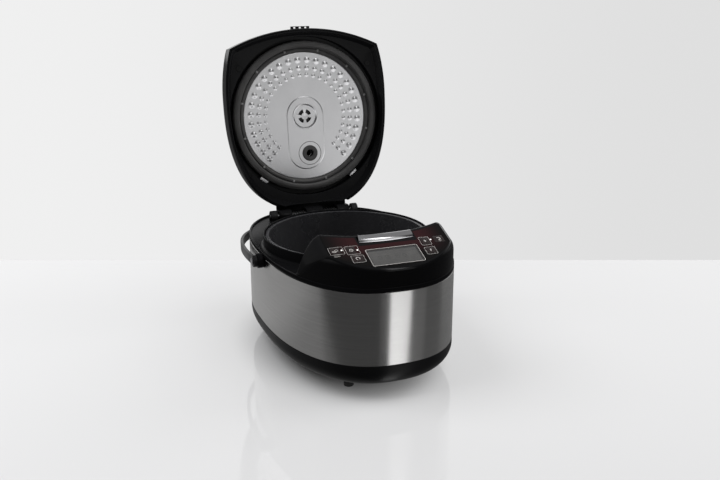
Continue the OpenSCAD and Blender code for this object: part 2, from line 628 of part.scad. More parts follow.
// Spun disc with three part rings of bosses, and a raised oval field round its vent and its steam outlet
dimple_rings = [[88.5, 5], [76, 4], [65, 3.2]];
module dimple(r) rotate_extrude($fn = 20) polygon([[0, 0.2], [r, 0.2], [r, 0], [r * 0.86, -0.5],
    [r * 0.55, -1.1], [0, -1.4]]);
module inner_lid() in_lid() color([0.82, 0.82, 0.83]) translate([0, 0, plate_z - 1]) difference() {
    union() {
        cylinder(h = 1, r = plate_r, $fn = 120);
        for (d = dimple_rings, i = [-13.5 : 13.5]) rotate(-90 + i * 10.44) translate([d[0], 0, 0]) dimple(d[1]);
        translate([0, 0, -0.5]) linear_extrude(1) oblong(30);
    }
    translate([0, 0, -3]) cylinder(h = 6, r = 19.2);
    translate([outlet[0], outlet[1], -3]) cylinder(h = 6, r = 9.6);
}
module oblong(r) {
    translate([0, -1]) circle(r, $fn = 72);
    translate([0, 54]) circle(r, $fn = 72);
    translate([-r, -1]) square([2 * r, 55]);
}

// Silicone lip seal that grips the inner lid's edge: a broad outer lip, a groove and a low inner ring
module gasket_ring() in_lid() color([0.3, 0.3, 0.3]) rotate_extrude($fn = 120)
    polygon([[plate_r + 0.1, 183.5], [118, 183.5], [118, 175], [116.5, 172.6], [113, 171.2], [109.5, 171],
        [108.3, 172], [107.8, 178.6], [106.2, 178.6], [105.6, 177.4], [102.4, 177.4], [101.4, 180],
        [plate_r + 0.1, 180]]);

module centre_vent() in_lid() color([0.7, 0.7, 0.72]) translate([0, 0, plate_z - 2.2]) difference() {
    rotate_extrude($fn = 96) polygon([[0, 2.8], [15.2, 2.8], [18.6, 0.5], [19.6, 0], [20.6, 0.1], [20.6, 0.6],
        [19, 0.6], [18.9, 1.1], [15.6, 3.8], [0, 3.8]]);
    for (a = [45 : 90 : 315]) rotate(a) intersection() {
        translate([0, 0, -1]) difference() {
            cylinder(h = 5, r = 11);
            cylinder(h = 5, r = 5.5);
        }
        rotate(-30) translate([0, 0, -1]) linear_extrude(5) polygon([[0, 0], [20, 0], [10, 17.32]]);
    }
}

module outlet_seal() in_lid() color([0.2, 0.2, 0.2]) translate([outlet[0], outlet[1], 0]) rotate_extrude()
    polygon([[6, plate_z - 3.2], [11.4, plate_z - 3.2], [12.6, plate_z - 2.4], [12.6, plate_z - 1.6],
        [9.4, plate_z - 1.6], [9.4, plate_z + 0.1], [11, plate_z + 0.4], [11, plate_z + 1.4],
        [9, plate_z + 3.5], [6, plate_z + 3.5]]);

module lid_clips() in_lid() color([0.85, 0.85, 0.86]) for (a = [52, 128]) rotate(a)
    translate([119.4, -7, 174.5]) cube([4.4, 14, plate_z + 2 - 174.5]);

// ---- Steam valve ----

module valve_cup() in_lid() color([0.05, 0.05, 0.05]) translate([outlet[0], outlet[1], 0]) rotate_extrude()
    polygon([[6, plate_z + 5], [12, plate_z + 5], [12, 204], [24, 206], [24, 230], [22, 230], [22, 208],
        [10, 206], [10, 196], [6, 196]]);

module valve_cap() in_lid() color([0.05, 0.05, 0.05]) translate([outlet[0], outlet[1], 0]) difference() {
    rotate_extrude() polygon([[0, 230.3], [19.5, 230.3], [19.5, 214], [21.4, 214], [21.4, 230.3], [24, 230.3],
        [24, 232], [22.6, 233.2], [0, 234]]);
    for (x = [-8, 0, 8]) translate([x - 1.5, -9, 228]) cube([3, 18, 8]);
}

base();
feet();
base_screws();
outer_band();
top_frame();
well_liner();
heating_plate();
thermal_sensor();
sensor_spring();
bowl();
hinge_bracket();
hinge_pin();
hinge_springs();
bracket_screws();
panel_housing();
panel_overlay();
panel_chassis();
display_window();
display_module();
indicator_lights();
control_board();
tact_switches();
menu_key();
timer_key();
minus_key();
plus_key();
start_key();
cancel_key();
release_button();
button_spring();
latch_frame();
latch_hook();
latch_pin();
power_board();
power_inlet();
inlet_pins();
handle_brackets();
handle_pins();
bail_handle();
lid_shell();
lid_liner();
lid_hinge();
lid_catch();
lid_screws();
heat_shield();
inner_lid();
gasket_ring();
centre_vent();
outlet_seal();
lid_clips();
valve_cup();
valve_cap();
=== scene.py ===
import json
import math

import bpy
from mathutils import Matrix, Vector


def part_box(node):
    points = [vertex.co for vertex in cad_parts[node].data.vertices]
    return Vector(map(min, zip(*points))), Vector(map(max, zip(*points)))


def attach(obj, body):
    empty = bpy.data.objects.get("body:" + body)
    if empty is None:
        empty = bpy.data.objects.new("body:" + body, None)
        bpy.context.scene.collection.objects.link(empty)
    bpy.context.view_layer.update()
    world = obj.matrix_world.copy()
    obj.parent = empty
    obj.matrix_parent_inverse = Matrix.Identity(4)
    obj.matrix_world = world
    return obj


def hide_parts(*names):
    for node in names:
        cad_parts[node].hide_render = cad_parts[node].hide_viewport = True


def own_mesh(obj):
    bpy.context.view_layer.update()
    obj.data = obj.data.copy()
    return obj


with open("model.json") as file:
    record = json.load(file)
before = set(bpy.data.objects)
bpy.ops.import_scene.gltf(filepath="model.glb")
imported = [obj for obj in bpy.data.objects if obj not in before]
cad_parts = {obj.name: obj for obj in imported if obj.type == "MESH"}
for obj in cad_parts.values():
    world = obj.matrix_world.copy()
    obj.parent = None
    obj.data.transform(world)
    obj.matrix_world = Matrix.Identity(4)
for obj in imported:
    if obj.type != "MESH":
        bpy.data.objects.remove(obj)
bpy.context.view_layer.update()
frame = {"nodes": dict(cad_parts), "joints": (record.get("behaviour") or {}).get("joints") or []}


# Camera: stands in front of the panel, a little to the left, and looks down on the open cooker.
MM = 0.001
bowl_low, bowl_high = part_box("bowl")
bowl_y = (bowl_low.y + bowl_high.y) / 2
camera = bpy.data.objects.new("camera", bpy.data.cameras.new("camera"))
bpy.context.scene.collection.objects.link(camera)
CAMERA_DIP, CAMERA_TURN = 17.43, -20.86
camera.location = (-0.4439, bowl_y - 1.2195, 0.5656)
camera.rotation_euler = (math.radians(90 - CAMERA_DIP), 0, math.radians(CAMERA_TURN))
camera.data.sensor_width = 36
camera.data.lens = 46.62
camera.data.clip_end = 50
bpy.context.scene.camera = camera
bpy.context.scene.view_settings.view_transform = "Standard"


# Table: a wide glossy white laminate top, which glows faintly away from the cooker and not under it: a painted shadow
# round the cooker's footprint, which keeps the shadow soft. Past its back edge the same sheet turns into a pale wall
# tone with painted light, lighter on the left. Nodes and Finish wrap a tree of nodes, so that a pattern is written as
# an expression on its values.
class Value:
    """One output of a node, which can be added, multiplied and compared like a number."""

    def __init__(self, nodes, socket):
        self.nodes = nodes
        self.socket = socket

    def maths(self, operation, other=0.0, flip=False):
        first, second = (other, self) if flip else (self, other)
        return self.nodes.node("ShaderNodeMath", {"operation": operation}, {0: first, 1: second})

    def __add__(self, other):
        return self.maths("ADD", other)

    def __mul__(self, other):
        return self.maths("MULTIPLY", other)

    def __sub__(self, other):
        return self.maths("SUBTRACT", other)

    def __rsub__(self, other):
        return self.maths("SUBTRACT", other, flip=True)

    def __truediv__(self, other):
        return self.maths("DIVIDE", other)

    def __rtruediv__(self, other):
        return self.maths("DIVIDE", other, flip=True)

    def __gt__(self, other):
        return self.maths("GREATER_THAN", other)

    def __lt__(self, other):
        return self.maths("LESS_THAN", other)

    __radd__ = __add__
    __rmul__ = __mul__

    def ramp(self, low, high, out_low=0.0, out_high=1.0):
        settings = {"interpolation_type": "SMOOTHSTEP"}
        return self.nodes.node("ShaderNodeMapRange", settings, {0: self, 1: low, 2: high, 3: out_low, 4: out_high})

    def over(self, other, share):
        """This value where the share is 1, and the other where it is 0."""
        return other + (self - other) * share


class Nodes:
    """A tree of nodes, which grows by one node at a time."""

    def __init__(self, tree):
        self.tree = tree

    def node(self, kind, settings=None, inputs=None, output=0):
        made = self.tree.nodes.new(kind)
        for key, value in (settings or {}).items():
            if key == "stops":
                steps = made.color_ramp.elements
                while len(steps) < len(value):
                    steps.new(0.5)
                for step, (position, tone) in zip(steps, value):
                    step.position = position
                    step.color = (tone, tone, tone, 1)
            else:
                setattr(made, key, value)
        for key, value in (inputs or {}).items():
            if isinstance(value, Value):
                self.tree.links.new(value.socket, made.inputs[key])
            else:
                made.inputs[key].default_value = value
        return Value(self, made.outputs[output])

    def feed(self, socket, value, into="Principled BSDF"):
        self.tree.links.new(value.socket, self.tree.nodes[into].inputs[socket])


class Finish(Nodes):
    """A material whose even values sit on the shader, and whose patterns are fed to it."""

    def __init__(self, name, colour, roughness, metal=0.0, **sockets):
        self.name = name
        self.material = bpy.data.materials.new(name)
        self.material.use_nodes = True
        super().__init__(self.material.node_tree)
        self.shader = self.tree.nodes["Principled BSDF"]
        even = {"Base_Color": (*colour, 1), "Roughness": roughness, "Metallic": metal, **sockets}
        for socket, value in even.items():
            self.shader.inputs[socket.replace("_", " ")].default_value = value
        self.place = self.node("ShaderNodeTexCoord", output="Object")

    def noise(self, scale, detail=3.0, stretch=(1, 1, 1)):
        spot = self.node("ShaderNodeMapping", None, {"Vector": self.place, "Scale": stretch})
        return self.node("ShaderNodeTexNoise", None, {"Vector": spot, "Scale": scale, "Detail": detail})

    def axis(self, index):
        return self.node("ShaderNodeSeparateXYZ", None, {0: self.place}, index)

    def blend(self, share, first, second):
        paints = {6: (*first, 1), 7: (*second, 1)}
        return self.node("ShaderNodeMix", {"data_type": "RGBA"}, {0: share, **paints}, 2)

    def mottle(self, socket, scale, low, high, detail=3.0):
        """Lets a number of the shader, or its colour, drift between two values."""
        cloud = self.noise(scale, detail)
        colour = isinstance(low, tuple)
        self.feed(socket, self.blend(cloud.ramp(0.3, 0.7), low, high) if colour else cloud.ramp(0.3, 0.7, low, high))

    def bump(self, height, depth):
        self.feed("Normal", self.node("ShaderNodeBump", None, {"Height": height, "Distance": depth, "Strength": 1.0}))


def begin(name, add, **settings):
    """Adds a primitive as a piece of its own, with nothing else selected."""
    bpy.ops.object.select_all(action="DESELECT")
    add(**settings)
    piece = bpy.context.object
    piece.name = name
    return piece


def wear(piece, finish):
    piece.data.materials.clear()
    piece.data.materials.append(finish.material)


def at(point):
    """A point in millimetres round the bowl's axis, in the frame's metres."""
    return Vector((point[0] * MM, point[1] * MM + bowl_y, point[2] * MM))


TABLE_EDGE, TABLE_GLOW = 1.675, 0.33
SHADE_SHIFT, SHADE_ACROSS, SHADE_ALONG = 0.02, 8, 5.2
table = begin("table_top", bpy.ops.mesh.primitive_plane_add, size=40)
laminate = Finish("table_laminate", (0.36, 0.36, 0.365), 0.05, Emission_Color=(1, 1, 1, 1))
table_x, table_y = laminate.axis(0), laminate.axis(1)
# Painted shadow: the glow is nil over the cooker's footprint, shifted a little to the left and front, and rises away
# from it.
across = (table_x + SHADE_SHIFT) * SHADE_ACROSS
along = (table_y + SHADE_SHIFT) * SHADE_ALONG
away = (across * across + along * along).maths("SQRT")
laminate.feed("Emission Strength", away.ramp(0.55, 1.25, 0.0, TABLE_GLOW))
sight = math.sin(camera.rotation_euler.z), math.cos(camera.rotation_euler.z)
depth = table_x * -sight[0] + table_y * sight[1]
aside = table_x * sight[1] + table_y * sight[0]
from_camera = camera.location.x * -sight[0] + camera.location.y * sight[1]
past_edge = depth > (from_camera + TABLE_EDGE)
# Painted light on the wall: its tone falls from 0.87 on the left to 0.74 on the right.
wall_tone = (aside / (depth - from_camera)).ramp(-0.4, 0.4, 0.87, 0.74)
wall = laminate.node("ShaderNodeEmission", None, {"Strength": wall_tone})


def past_line(x, y, degrees):
    """Where the table lies beyond a line that leaves a spot, in millimetres, at a bearing from the front."""
    a = math.radians(degrees)
    start = at((x, y, 0))
    past = (table_y - start.y) * math.sin(a) + (table_x - start.x) * math.cos(a)
    return past.ramp(-1.5 * MM, 1.5 * MM)


# Painted reflections: for every ray but the camera's the table glows with tones that stand in for what the glossy
# parts mirror. The low steel mirrors a painted dark room with one tall window in front on the right. The black
# housing mirrors a darker table, and the open lid, higher up, sees the table in front of it painted as a bright
# sheet. Each step of the painted room starts at a line over the table, and the left has a painted wall of its own.
PAINTED_REFLECTION_TONE = 0.075
PAINTED_REFLECTION_STEPS = ((-30, -204, 0, 0.12), (-15.5, -206, 13, 1.5), (10.5, -207, 30, 0.2), (33, -204, 52, 0.13),
              (60, -192, 90, 0.18))
BAND_HEIGHTS, LID_HEIGHTS = (0.152, 0.154), (0.185, 0.2)
HOUSING_PAINTED_REFLECTION, LIGHT_SCATTERED = 0.04, 0.5
mirrored = laminate.node("ShaderNodeValue")
mirrored.socket.default_value = PAINTED_REFLECTION_TONE
for x, y, degrees, tone in PAINTED_REFLECTION_STEPS:
    mirrored = mirrored + (tone - mirrored) * past_line(x, y, degrees)
on_left = past_line(-93, -161, 87) * table_x.ramp(-0.12, 0.05, 1, 0)
mirrored = table_y.ramp(-0.1, 0.12, 0.25, 0.42).over(mirrored, on_left)
length = laminate.node("ShaderNodeLightPath", output="Ray Length")
back = laminate.node("ShaderNodeNewGeometry", output="Incoming")
height = length * laminate.node("ShaderNodeSeparateXYZ", None, {0: back}, 2)
# Painted reflection: rays that leave from the housing's height see a darker table, and rays from the lid's height see
# a bright one in front.
mirrored = mirrored + (HOUSING_PAINTED_REFLECTION - mirrored) * height.ramp(*BAND_HEIGHTS)
mirrored = table_y.ramp(0, 0.2, 1.12, 0.12).over(mirrored, height.ramp(*LID_HEIGHTS))
# Diffuse bounces see the table glow evenly at this tone, painted light that fills the cooker from below.
scattered = laminate.node("ShaderNodeLightPath", output="Diffuse Depth") > 0.5
mirrored = mirrored + (LIGHT_SCATTERED - mirrored) * scattered
painted_reflections = laminate.node("ShaderNodeEmission", None, {"Strength": mirrored})
camera_ray = laminate.node("ShaderNodeLightPath", output="Is Camera Ray")
own = Value(laminate, laminate.shader.outputs[0])
seen = laminate.node("ShaderNodeMixShader", None, {0: past_edge, 1: own, 2: wall})
whole = laminate.node("ShaderNodeMixShader", None, {0: camera_ray, 1: painted_reflections, 2: seen})
laminate.feed("Surface", whole, "Material Output")
wear(table, laminate)


# Studio: broad daylight with a softbox high on each side, and a narrow tall window in front on the right, which
# only mirrors see. A lamp lights only what is met before a diffuse bounce, so that the steel throws no spots on
# the table. The room's walls are dark in front and pale behind, and its ceiling is grey.
def softbox(name, place, size, watts, mirrored=False):
    lamp = bpy.data.lights.new(name, "AREA")
    lamp.shape = "RECTANGLE"
    lamp.size, lamp.size_y = size
    lamp.energy = watts
    lamp.use_nodes = True
    nodes = Nodes(lamp.node_tree)
    nodes.feed("Strength", nodes.node("ShaderNodeLightPath", output="Diffuse Depth") < 0.5, "Emission")
    holder = bpy.data.objects.new(name, lamp)
    bpy.context.scene.collection.objects.link(holder)
    holder.visible_glossy = mirrored
    holder.visible_diffuse = not mirrored
    holder.location = place
    holder.rotation_euler = (Vector((0, 0, 0.12)) - Vector(place)).to_track_quat("-Z", "Y").to_euler()


softbox("tall_window", (0.6, -1.5, 1.61), (0.35, 0.9), 2.5, mirrored=True)
softbox("softbox_right", (2.1, -0.2, 1.6), (1.3, 1.3), 26)
softbox("softbox_left", (-1.6, 0.4, 2.4), (2.0, 2.0), 66)
day = bpy.data.objects.new("daylight", bpy.data.lights.new("daylight", "SUN"))
bpy.context.scene.collection.objects.link(day)
day.visible_glossy = False
day.data.energy = 1.2
day.data.angle = math.radians(50)
day.rotation_euler = (math.radians(15), math.radians(22), 0)
# The walls' tones go by their bearing in degrees from straight in front.
WALLS = ((-180, 0.85), (-165, 0.85), (-150, 0.1), (-97, 0.2), (-93, 0.05), (8, 0.05), (12, 0.5), (31, 0.5),
         (34, 0.05), (80, 0.05), (96, 0.6), (130, 0.85), (180, 0.85))
world = bpy.data.worlds.new("studio")
bpy.context.scene.world = world
world.use_nodes = True
sky = Nodes(world.node_tree)
direction = sky.node("ShaderNodeTexCoord", output="Generated")
sideways, backwards, upwards = (sky.node("ShaderNodeSeparateXYZ", None, {0: direction}, axis) for axis in "XYZ")
bearing = sideways.maths("ARCTAN2", backwards * -1) / (2 * math.pi) + 0.5
stops = [(degrees / 360 + 0.5, tone) for degrees, tone in WALLS]
walls = sky.node("ShaderNodeValToRGB", {"stops": stops}, {0: bearing})
ceiling = {0: upwards.ramp(0.4, 0.75), 6: walls, 7: (0.2, 0.2, 0.2, 1)}
room = sky.node("ShaderNodeMix", {"data_type": "RGBA"}, ceiling, 2)
around = sky.node("ShaderNodeBackground", None, {"Color": room})
behind = sky.node("ShaderNodeBackground", None, {"Color": (0.8, 0.8, 0.81, 1)})
camera_ray = sky.node("ShaderNodeLightPath", output="Is Camera Ray")
sky.feed("Surface", sky.node("ShaderNodeMixShader", None, {0: camera_ray, 1: around, 2: behind}), "World Output")


# Base: a rounded black tray under the body, injection moulded with a fine spark-eroded face.
# Its curve tucks in to a flat floor with radial vent slots; four screws and four feet go into the floor.
BODY_FRONT, BODY_BACK, BODY_MID, BODY_SQUARE = 219, 178, 12, 2.45
band_low, band_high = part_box("outer_band")
body_half = band_high.x / MM


def power(value, exponent):
    return math.copysign(abs(value) ** exponent, value)


def body_ring(inset, z, corners=224):
    ring = []
    for i in range(corners):
        a = 2 * math.pi * i / corners
        reach = BODY_FRONT if math.sin(a) < 0 else BODY_BACK
        x = (body_half - inset) * power(math.cos(a), 2 / BODY_SQUARE)
        y = BODY_MID + (reach - inset) * power(math.sin(a), 2 / BODY_SQUARE)
        ring.append((x, y, z))
    return ring


def gathered(ring, point):
    return [point] * len(ring)


def capped(rings, first=None, last=None):
    """A run of rings closed by a point at each end, in the middle of the end ring unless one is given."""
    first = first or sum((Vector(p) for p in rings[0]), Vector()) / len(rings[0])
    last = last or sum((Vector(p) for p in rings[-1]), Vector()) / len(rings[-1])
    return [gathered(rings[0], first)] + rings + [gathered(rings[0], last)]


def skin(name, rings, closed=False):
    """A grid bent so that each of its rows lies on a ring, sewn up where its edges meet."""
    rows = rings + rings[:1] if closed else rings
    columns = len(rows[0])
    piece = begin(name, bpy.ops.mesh.primitive_grid_add, x_subdivisions=columns, y_subdivisions=len(rows) - 1, size=1)
    for vertex in piece.data.vertices:
        column = round((vertex.co.x + 0.5) * columns) % columns
        row = round((vertex.co.y + 0.5) * (len(rows) - 1))
        vertex.co = at(rows[row][column])
    sew()
    return piece


def sew():
    """Merges what lies together on the piece just made, and turns its faces outwards."""
    bpy.ops.object.mode_set(mode="EDIT")
    bpy.ops.mesh.select_all(action="SELECT")
    bpy.ops.mesh.remove_doubles(threshold=2e-6)
    bpy.ops.mesh.dissolve_degenerate(threshold=1e-7)
    bpy.ops.mesh.normals_make_consistent(inside=False)
    bpy.ops.object.mode_set(mode="OBJECT")


def cut(piece, *cutters, operation="DIFFERENCE"):
    """Cuts other shapes out of a piece, or welds them to it as a union, and uses them up."""
    for cutter in cutters:
        modifier = piece.modifiers.new("cut", "BOOLEAN")
        modifier.operation = operation
        modifier.solver = "EXACT"
        modifier.object = cutter
        bpy.context.view_layer.objects.active = piece
        bpy.ops.object.modifier_apply(modifier=modifier.name)
        bpy.data.objects.remove(cutter)


def pick(*pieces):
    """Selects these pieces and nothing else, with the first of them active."""
    bpy.ops.object.select_all(action="DESELECT")
    for piece in pieces:
        piece.select_set(True)
    bpy.context.view_layer.objects.active = pieces[0]


def soften(piece, width=0.0, angle=32, segments=3):
    """Rounds the sharp edges by a width in millimetres, and shades the rest smooth."""
    pick(piece)
    if width:
        modifier = piece.modifiers.new("edges", "BEVEL")
        modifier.width = width * MM
        modifier.segments = segments
        modifier.limit_method = "ANGLE"
        modifier.angle_limit = math.radians(angle)
        bpy.ops.object.modifier_apply(modifier=modifier.name)
    bpy.ops.object.shade_smooth_by_angle(angle=math.radians(angle))
    return piece


def block(name, low, high, round_off=0.0):
    """A box between two corners, in millimetres round the bowl's axis."""
    piece = begin(name, bpy.ops.mesh.primitive_cube_add, size=1)
    middle = [(a + b) / 2 for a, b in zip(low, high)]
    for vertex in piece.data.vertices:
        vertex.co = at([m + c * (b - a) for m, c, a, b in zip(middle, vertex.co, low, high)])
    return soften(piece, round_off) if round_off else piece


def turn_about(spot, degrees, axis):
    """A turn about an axis of the frame through a spot given in metres."""
    return Matrix.Translation(spot) @ Matrix.Rotation(math.radians(degrees), 4, axis) @ Matrix.Translation(-spot)


def fit(piece, finish, body, *nodes, slot=None):
    """Gives a piece its finish and its body, and says which CAD nodes it stands for. Its slot is not used."""
    wear(piece, finish)
    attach(piece, body)
    if nodes:
        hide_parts(*nodes)
    return piece


def textured_black(name, colour, roughness, grain=0.02, specular=0.3, **sockets):
    """Black plastic with a fine moulded grain and faintly uneven gloss."""
    finish = Finish(name, colour, roughness, Specular_IOR_Level=specular, **sockets)
    finish.mottle("Roughness", 14, roughness - 0.05, roughness + 0.06, 4)
    finish.bump(finish.noise(2600, 2), grain * MM)
    return finish


base_black = textured_black("base_black", (0.005, 0.005, 0.0055), 0.36, specular=0.12)
BASE_TUCK, BASE_BEND, BASE_SQUARE, BASE_WALL = 41, 42, 1.09, 2.5
base_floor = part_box("base")[0].z / MM
base_curve = []
for step in range(0, 91, 5):
    a = math.radians(90 - step)
    base_curve.append((BASE_TUCK * (1 - max(0, math.cos(a)) ** BASE_SQUARE),
                       BASE_BEND - (BASE_BEND - base_floor) * math.sin(a) ** BASE_SQUARE))
band_z = band_low.z / MM
rings = [body_ring(inset, z) for inset, z in base_curve]
rings += [body_ring(inset, z) for inset, z in ((0, band_z - 0.9), (0.4, band_z - 0.35), (BASE_WALL, band_z - 0.3))]
rings += [body_ring(inset + BASE_WALL, z + BASE_WALL) for inset, z in reversed(base_curve[:-2])]
base = skin("base_tray", capped(rings, (0, 0, base_floor), (0, 0, base_floor + BASE_WALL)))
for index in range(12):
    vent = block("vent", (48, -1.5, base_floor - 1), (72, 1.5, base_floor + 4))
    vent.data.transform(turn_about(at((0, 0, 0)), 15 + 30 * index, "Z"))
    cut(base, vent)
fit(soften(base), base_black, "body", "base")


# Feet: four rubber pads pushed into the tray's floor, turned here with a rounded tread.
def turned(name, profile, steps=128, centre=(0, 0)):
    """A closed profile of (radius, height) in millimetres, spun about an upright axis."""
    piece = begin(name, bpy.ops.mesh.primitive_circle_add, vertices=len(profile))
    middle = at((*centre, 0))
    for vertex, (radius, height) in zip(piece.data.vertices, profile):
        vertex.co = middle + Vector((radius * MM, 0, height * MM))
    bpy.ops.object.mode_set(mode="EDIT")
    bpy.ops.mesh.select_all(action="SELECT")
    bpy.ops.mesh.spin(steps=steps, angle=2 * math.pi, center=middle, axis=(0, 0, 1))
    bpy.ops.object.mode_set(mode="OBJECT")
    sew()
    return piece


def join(name, pieces):
    pick(*pieces)
    bpy.ops.object.join()
    pieces[0].name = name
    return pieces[0]


foot_rubber = textured_black("foot_rubber", (0.02, 0.02, 0.02), 0.6, 0.04)
foot_profile = [(0, 0.3), (5.4, 0.3), (5.6, 0), (6.2, 0.1), (6.8, 0.6), (7, 1.4), (6.9, 11), (6.6, 11.9), (2.4, 12),
                (2.4, 15), (0, 15)]
feet = [soften(turned("foot", foot_profile, 48, spot), 0, 40)
        for spot in ((50, -143), (-50, -143), (56, 112), (-56, 112))]
fit(join("rubber_feet", feet), foot_rubber, "body", "feet")


# Outer band: a sleeve of brushed stainless steel, its brush lines running round the body, with both edges
# turned in. It is cut through at the back for the power inlet.
brushed_steel = Finish("brushed_steel", (0.5, 0.495, 0.49), 0.24, 1.0, Anisotropic=1.0, Anisotropic_Rotation=0.25)
brush = brushed_steel.noise(1.0, 4, (30, 30, 5200))
wide_brush = brushed_steel.noise(1.0, 2, (9, 9, 900))
brushed_steel.feed("Roughness", brush.ramp(0.25, 0.75, 0.21, 0.27))
tone = (brush * 0.6 + wide_brush * 0.4).ramp(0.3, 0.7)
brushed_steel.feed("Base Color", brushed_steel.blend(tone, (0.49, 0.485, 0.48), (0.58, 0.575, 0.57)))
brushed_steel.bump(brush, 0.003 * MM)
brushed_steel.feed("Tangent", brushed_steel.node("ShaderNodeTangent", {"direction_type": "RADIAL", "axis": "Z"}))
band_top = band_high.z / MM
BAND_WALL = 1.2
rings = [body_ring(inset, z, 288) for inset, z in (
    (BAND_WALL, band_z), (0.5, band_z), (0.15, band_z + 0.15), (0, band_z + 0.6), (0, band_top - 1.0),
    (0.12, band_top - 0.35), (0.5, band_top), (BAND_WALL, band_top))]
band = skin("steel_band", rings, closed=True)
inlet_low, inlet_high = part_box("power_inlet")
inlet_mid = (inlet_low.z + inlet_high.z) / 2 / MM
cut(band, block("inlet_hole", (-13.8, 180, inlet_mid - 12.3), (13.8, 200, inlet_mid + 12.3)))
fit(soften(band, 0, 35), brushed_steel, "body", "outer_band", slot="steel_band")


# Top frame: the moulded black deck with its rim over the band and the round collar that the bowl hangs in.
# A trough behind the collar takes the hinge, and four posts under the deck take the base's screws.
def corner(before, here, after, radius, steps):
    """Points of a short curve that cuts off one corner of a path."""
    to_before, to_after = before - here, after - here
    start = here + to_before * min(radius / max(to_before.length, 1e-9), 0.45)
    end = here + to_after * min(radius / max(to_after.length, 1e-9), 0.45)
    shares = [k / steps for k in range(steps + 1)]
    return [start * (1 - t) ** 2 + here * 2 * t * (1 - t) + end * t ** 2 for t in shares]


def rounded(rings, radius, closed=True, steps=3):
    """Rounds the corners of a path of rings, column by column."""
    result = []
    for k, ring in enumerate(rings):
        if not closed and k in (0, len(rings) - 1):
            result.append(ring)
            continue
        after = rings[(k + 1) % len(rings)]
        columns = [corner(Vector(a), Vector(b), Vector(c), radius, steps)
                   for a, b, c in zip(rings[k - 1], ring, after)]
        result += [list(curve) for curve in zip(*columns)]
    return result


def rounded_path(points, radius, closed=True, steps=3):
    return [ring[0] for ring in rounded([[point] for point in points], radius, closed, steps)]


def round_ring(ring, radius, z):
    return [(x * radius / math.hypot(x, y), y * radius / math.hypot(x, y), z) for x, y, _ in ring]


deck_black = textured_black("deck_black", (0.005, 0.005, 0.0055), 0.22, 0.006, 0.04)
outline = body_ring(3, 0)
rings = [body_ring(inset, z) for inset, z in ((3.5, 145), (1.5, 145), (1.5, 151.2), (0, 151.2), (0, 157.5),
                                              (3, 157.5), (3.1, 155))]
rings += [round_ring(outline, radius, z) for radius, z in (
    (123.4, 155), (121, 157.4), (121, 171.2), (120, 172), (118.2, 171.5), (118.2, 168.2), (115.6, 168.2),
    (115.6, 152), (121, 152), (121.2, 153))]
rings.append(body_ring(3.5, 153))
deck = skin("top_deck", rounded(rings, 0.7), closed=True)
cut(deck, block("trough", (-73, 142.4, 152), (73, 162.4, 158)))
soften(deck, 0, 40)
POST_SPOTS = ((56, -126), (-56, -126), (48, 130), (-48, 130))
posts = [soften(turned("post", [(0, 15), (4, 15), (5, 16), (5, 153.6), (0, 153.6)], 40, spot), 0, 40)
         for spot in POST_SPOTS]
fit(join("top_deck", [deck] + posts), deck_black, "body", "top_frame")


# Well: a pressed aluminium can hangs from the collar. The cast heater plate rests on its floor round a
# sprung sensor, and the coated bowl stands on both.
def polished(name, colour, roughness, grain, spread=0.07, stretch=(1, 1, 1)):
    """Bare metal with a faint cloudy stain and a fine directional or even grain."""
    finish = Finish(name, colour, roughness, 1.0)
    cloud = finish.noise(22, 5, stretch)
    finish.feed("Roughness", cloud.ramp(0.3, 0.7, roughness - spread, roughness + spread))
    finish.feed("Base Color", finish.blend(cloud.ramp(0.25, 0.75), tuple(0.9 * c for c in colour), colour))
    finish.bump(finish.noise(900, 3, stretch), grain * MM)
    return finish


def bend(x, z, radius, degrees):
    """Points of a bend in a profile, round its own centre."""
    return [(x + radius * math.cos(math.radians(a)), z + radius * math.sin(math.radians(a))) for a in degrees]


liner_metal = polished("liner_metal", (0.62, 0.62, 0.63), 0.36, 0.02)
well = [(116.5, 151.8), (122, 151.8), (122, 150.8), (117.5, 150.8)]
well += bend(104.5, 40, 13, range(0, -91, -10))
well += [(15, 27), (15, 19.5), (5.6, 19.5), (5.6, 21), (14, 21), (14, 28)] + bend(104.5, 40, 12, range(-90, 1, 10))
fit(soften(turned("well_can", well), 0, 40), liner_metal, "body", "well_liner")

heater_metal = polished("heater_metal", (0.5, 0.5, 0.51), 0.5, 0.08)
plate = rounded_path([(20, 32), (50, 32), (52, 28), (72, 28), (74, 32), (84, 32), (84, 28), (90, 28), (92, 30),
                      (92, 37.7), (20, 37.7)], 0.8)
fit(soften(turned("heater_casting", plate), 0, 40), heater_metal, "body", "heating_plate")

sensor = turned("sensor_button", rounded_path(
    [(0, 17), (7, 17), (7, 18.3), (4.9, 18.3), (4.9, 32.6), (16, 32.6), (17, 33.4), (17, 37.7), (0, 37.7)], 0.5), 72)
fit(soften(sensor, 0, 40), heater_metal, "sensor_head", "thermal_sensor")

bowl_coating = Finish("bowl_coating", (0.03, 0.03, 0.032), 0.32, Specular_IOR_Level=0.6)
speck = bowl_coating.noise(1500, 1).ramp(0.66, 0.72)
bowl_coating.feed("Base Color", bowl_coating.blend(speck, (0.022, 0.022, 0.024), (0.16, 0.16, 0.165)))
bowl_coating.feed("Roughness", speck * 0.15 + bowl_coating.noise(30).ramp(0.3, 0.7, 0.26, 0.38))
bowl_coating.bump(bowl_coating.noise(1500, 1), 0.01 * MM)
pot = [(0, 38)] + bend(92.5, 60, 22, range(-90, 1, 6))
pot += rounded_path([(114.5, 160), (114.5, 168.5), (117.6, 168.5), (117.6, 170), (112.5, 170), (112.5, 160)],
                    0.7, closed=False)[1:-1]
pot += bend(92.5, 60, 20, range(0, -91, -6)) + [(0, 40)]
fit(soften(turned("cooking_pot", pot, 160), 0, 40), bowl_coating, "cooking_bowl", "bowl")


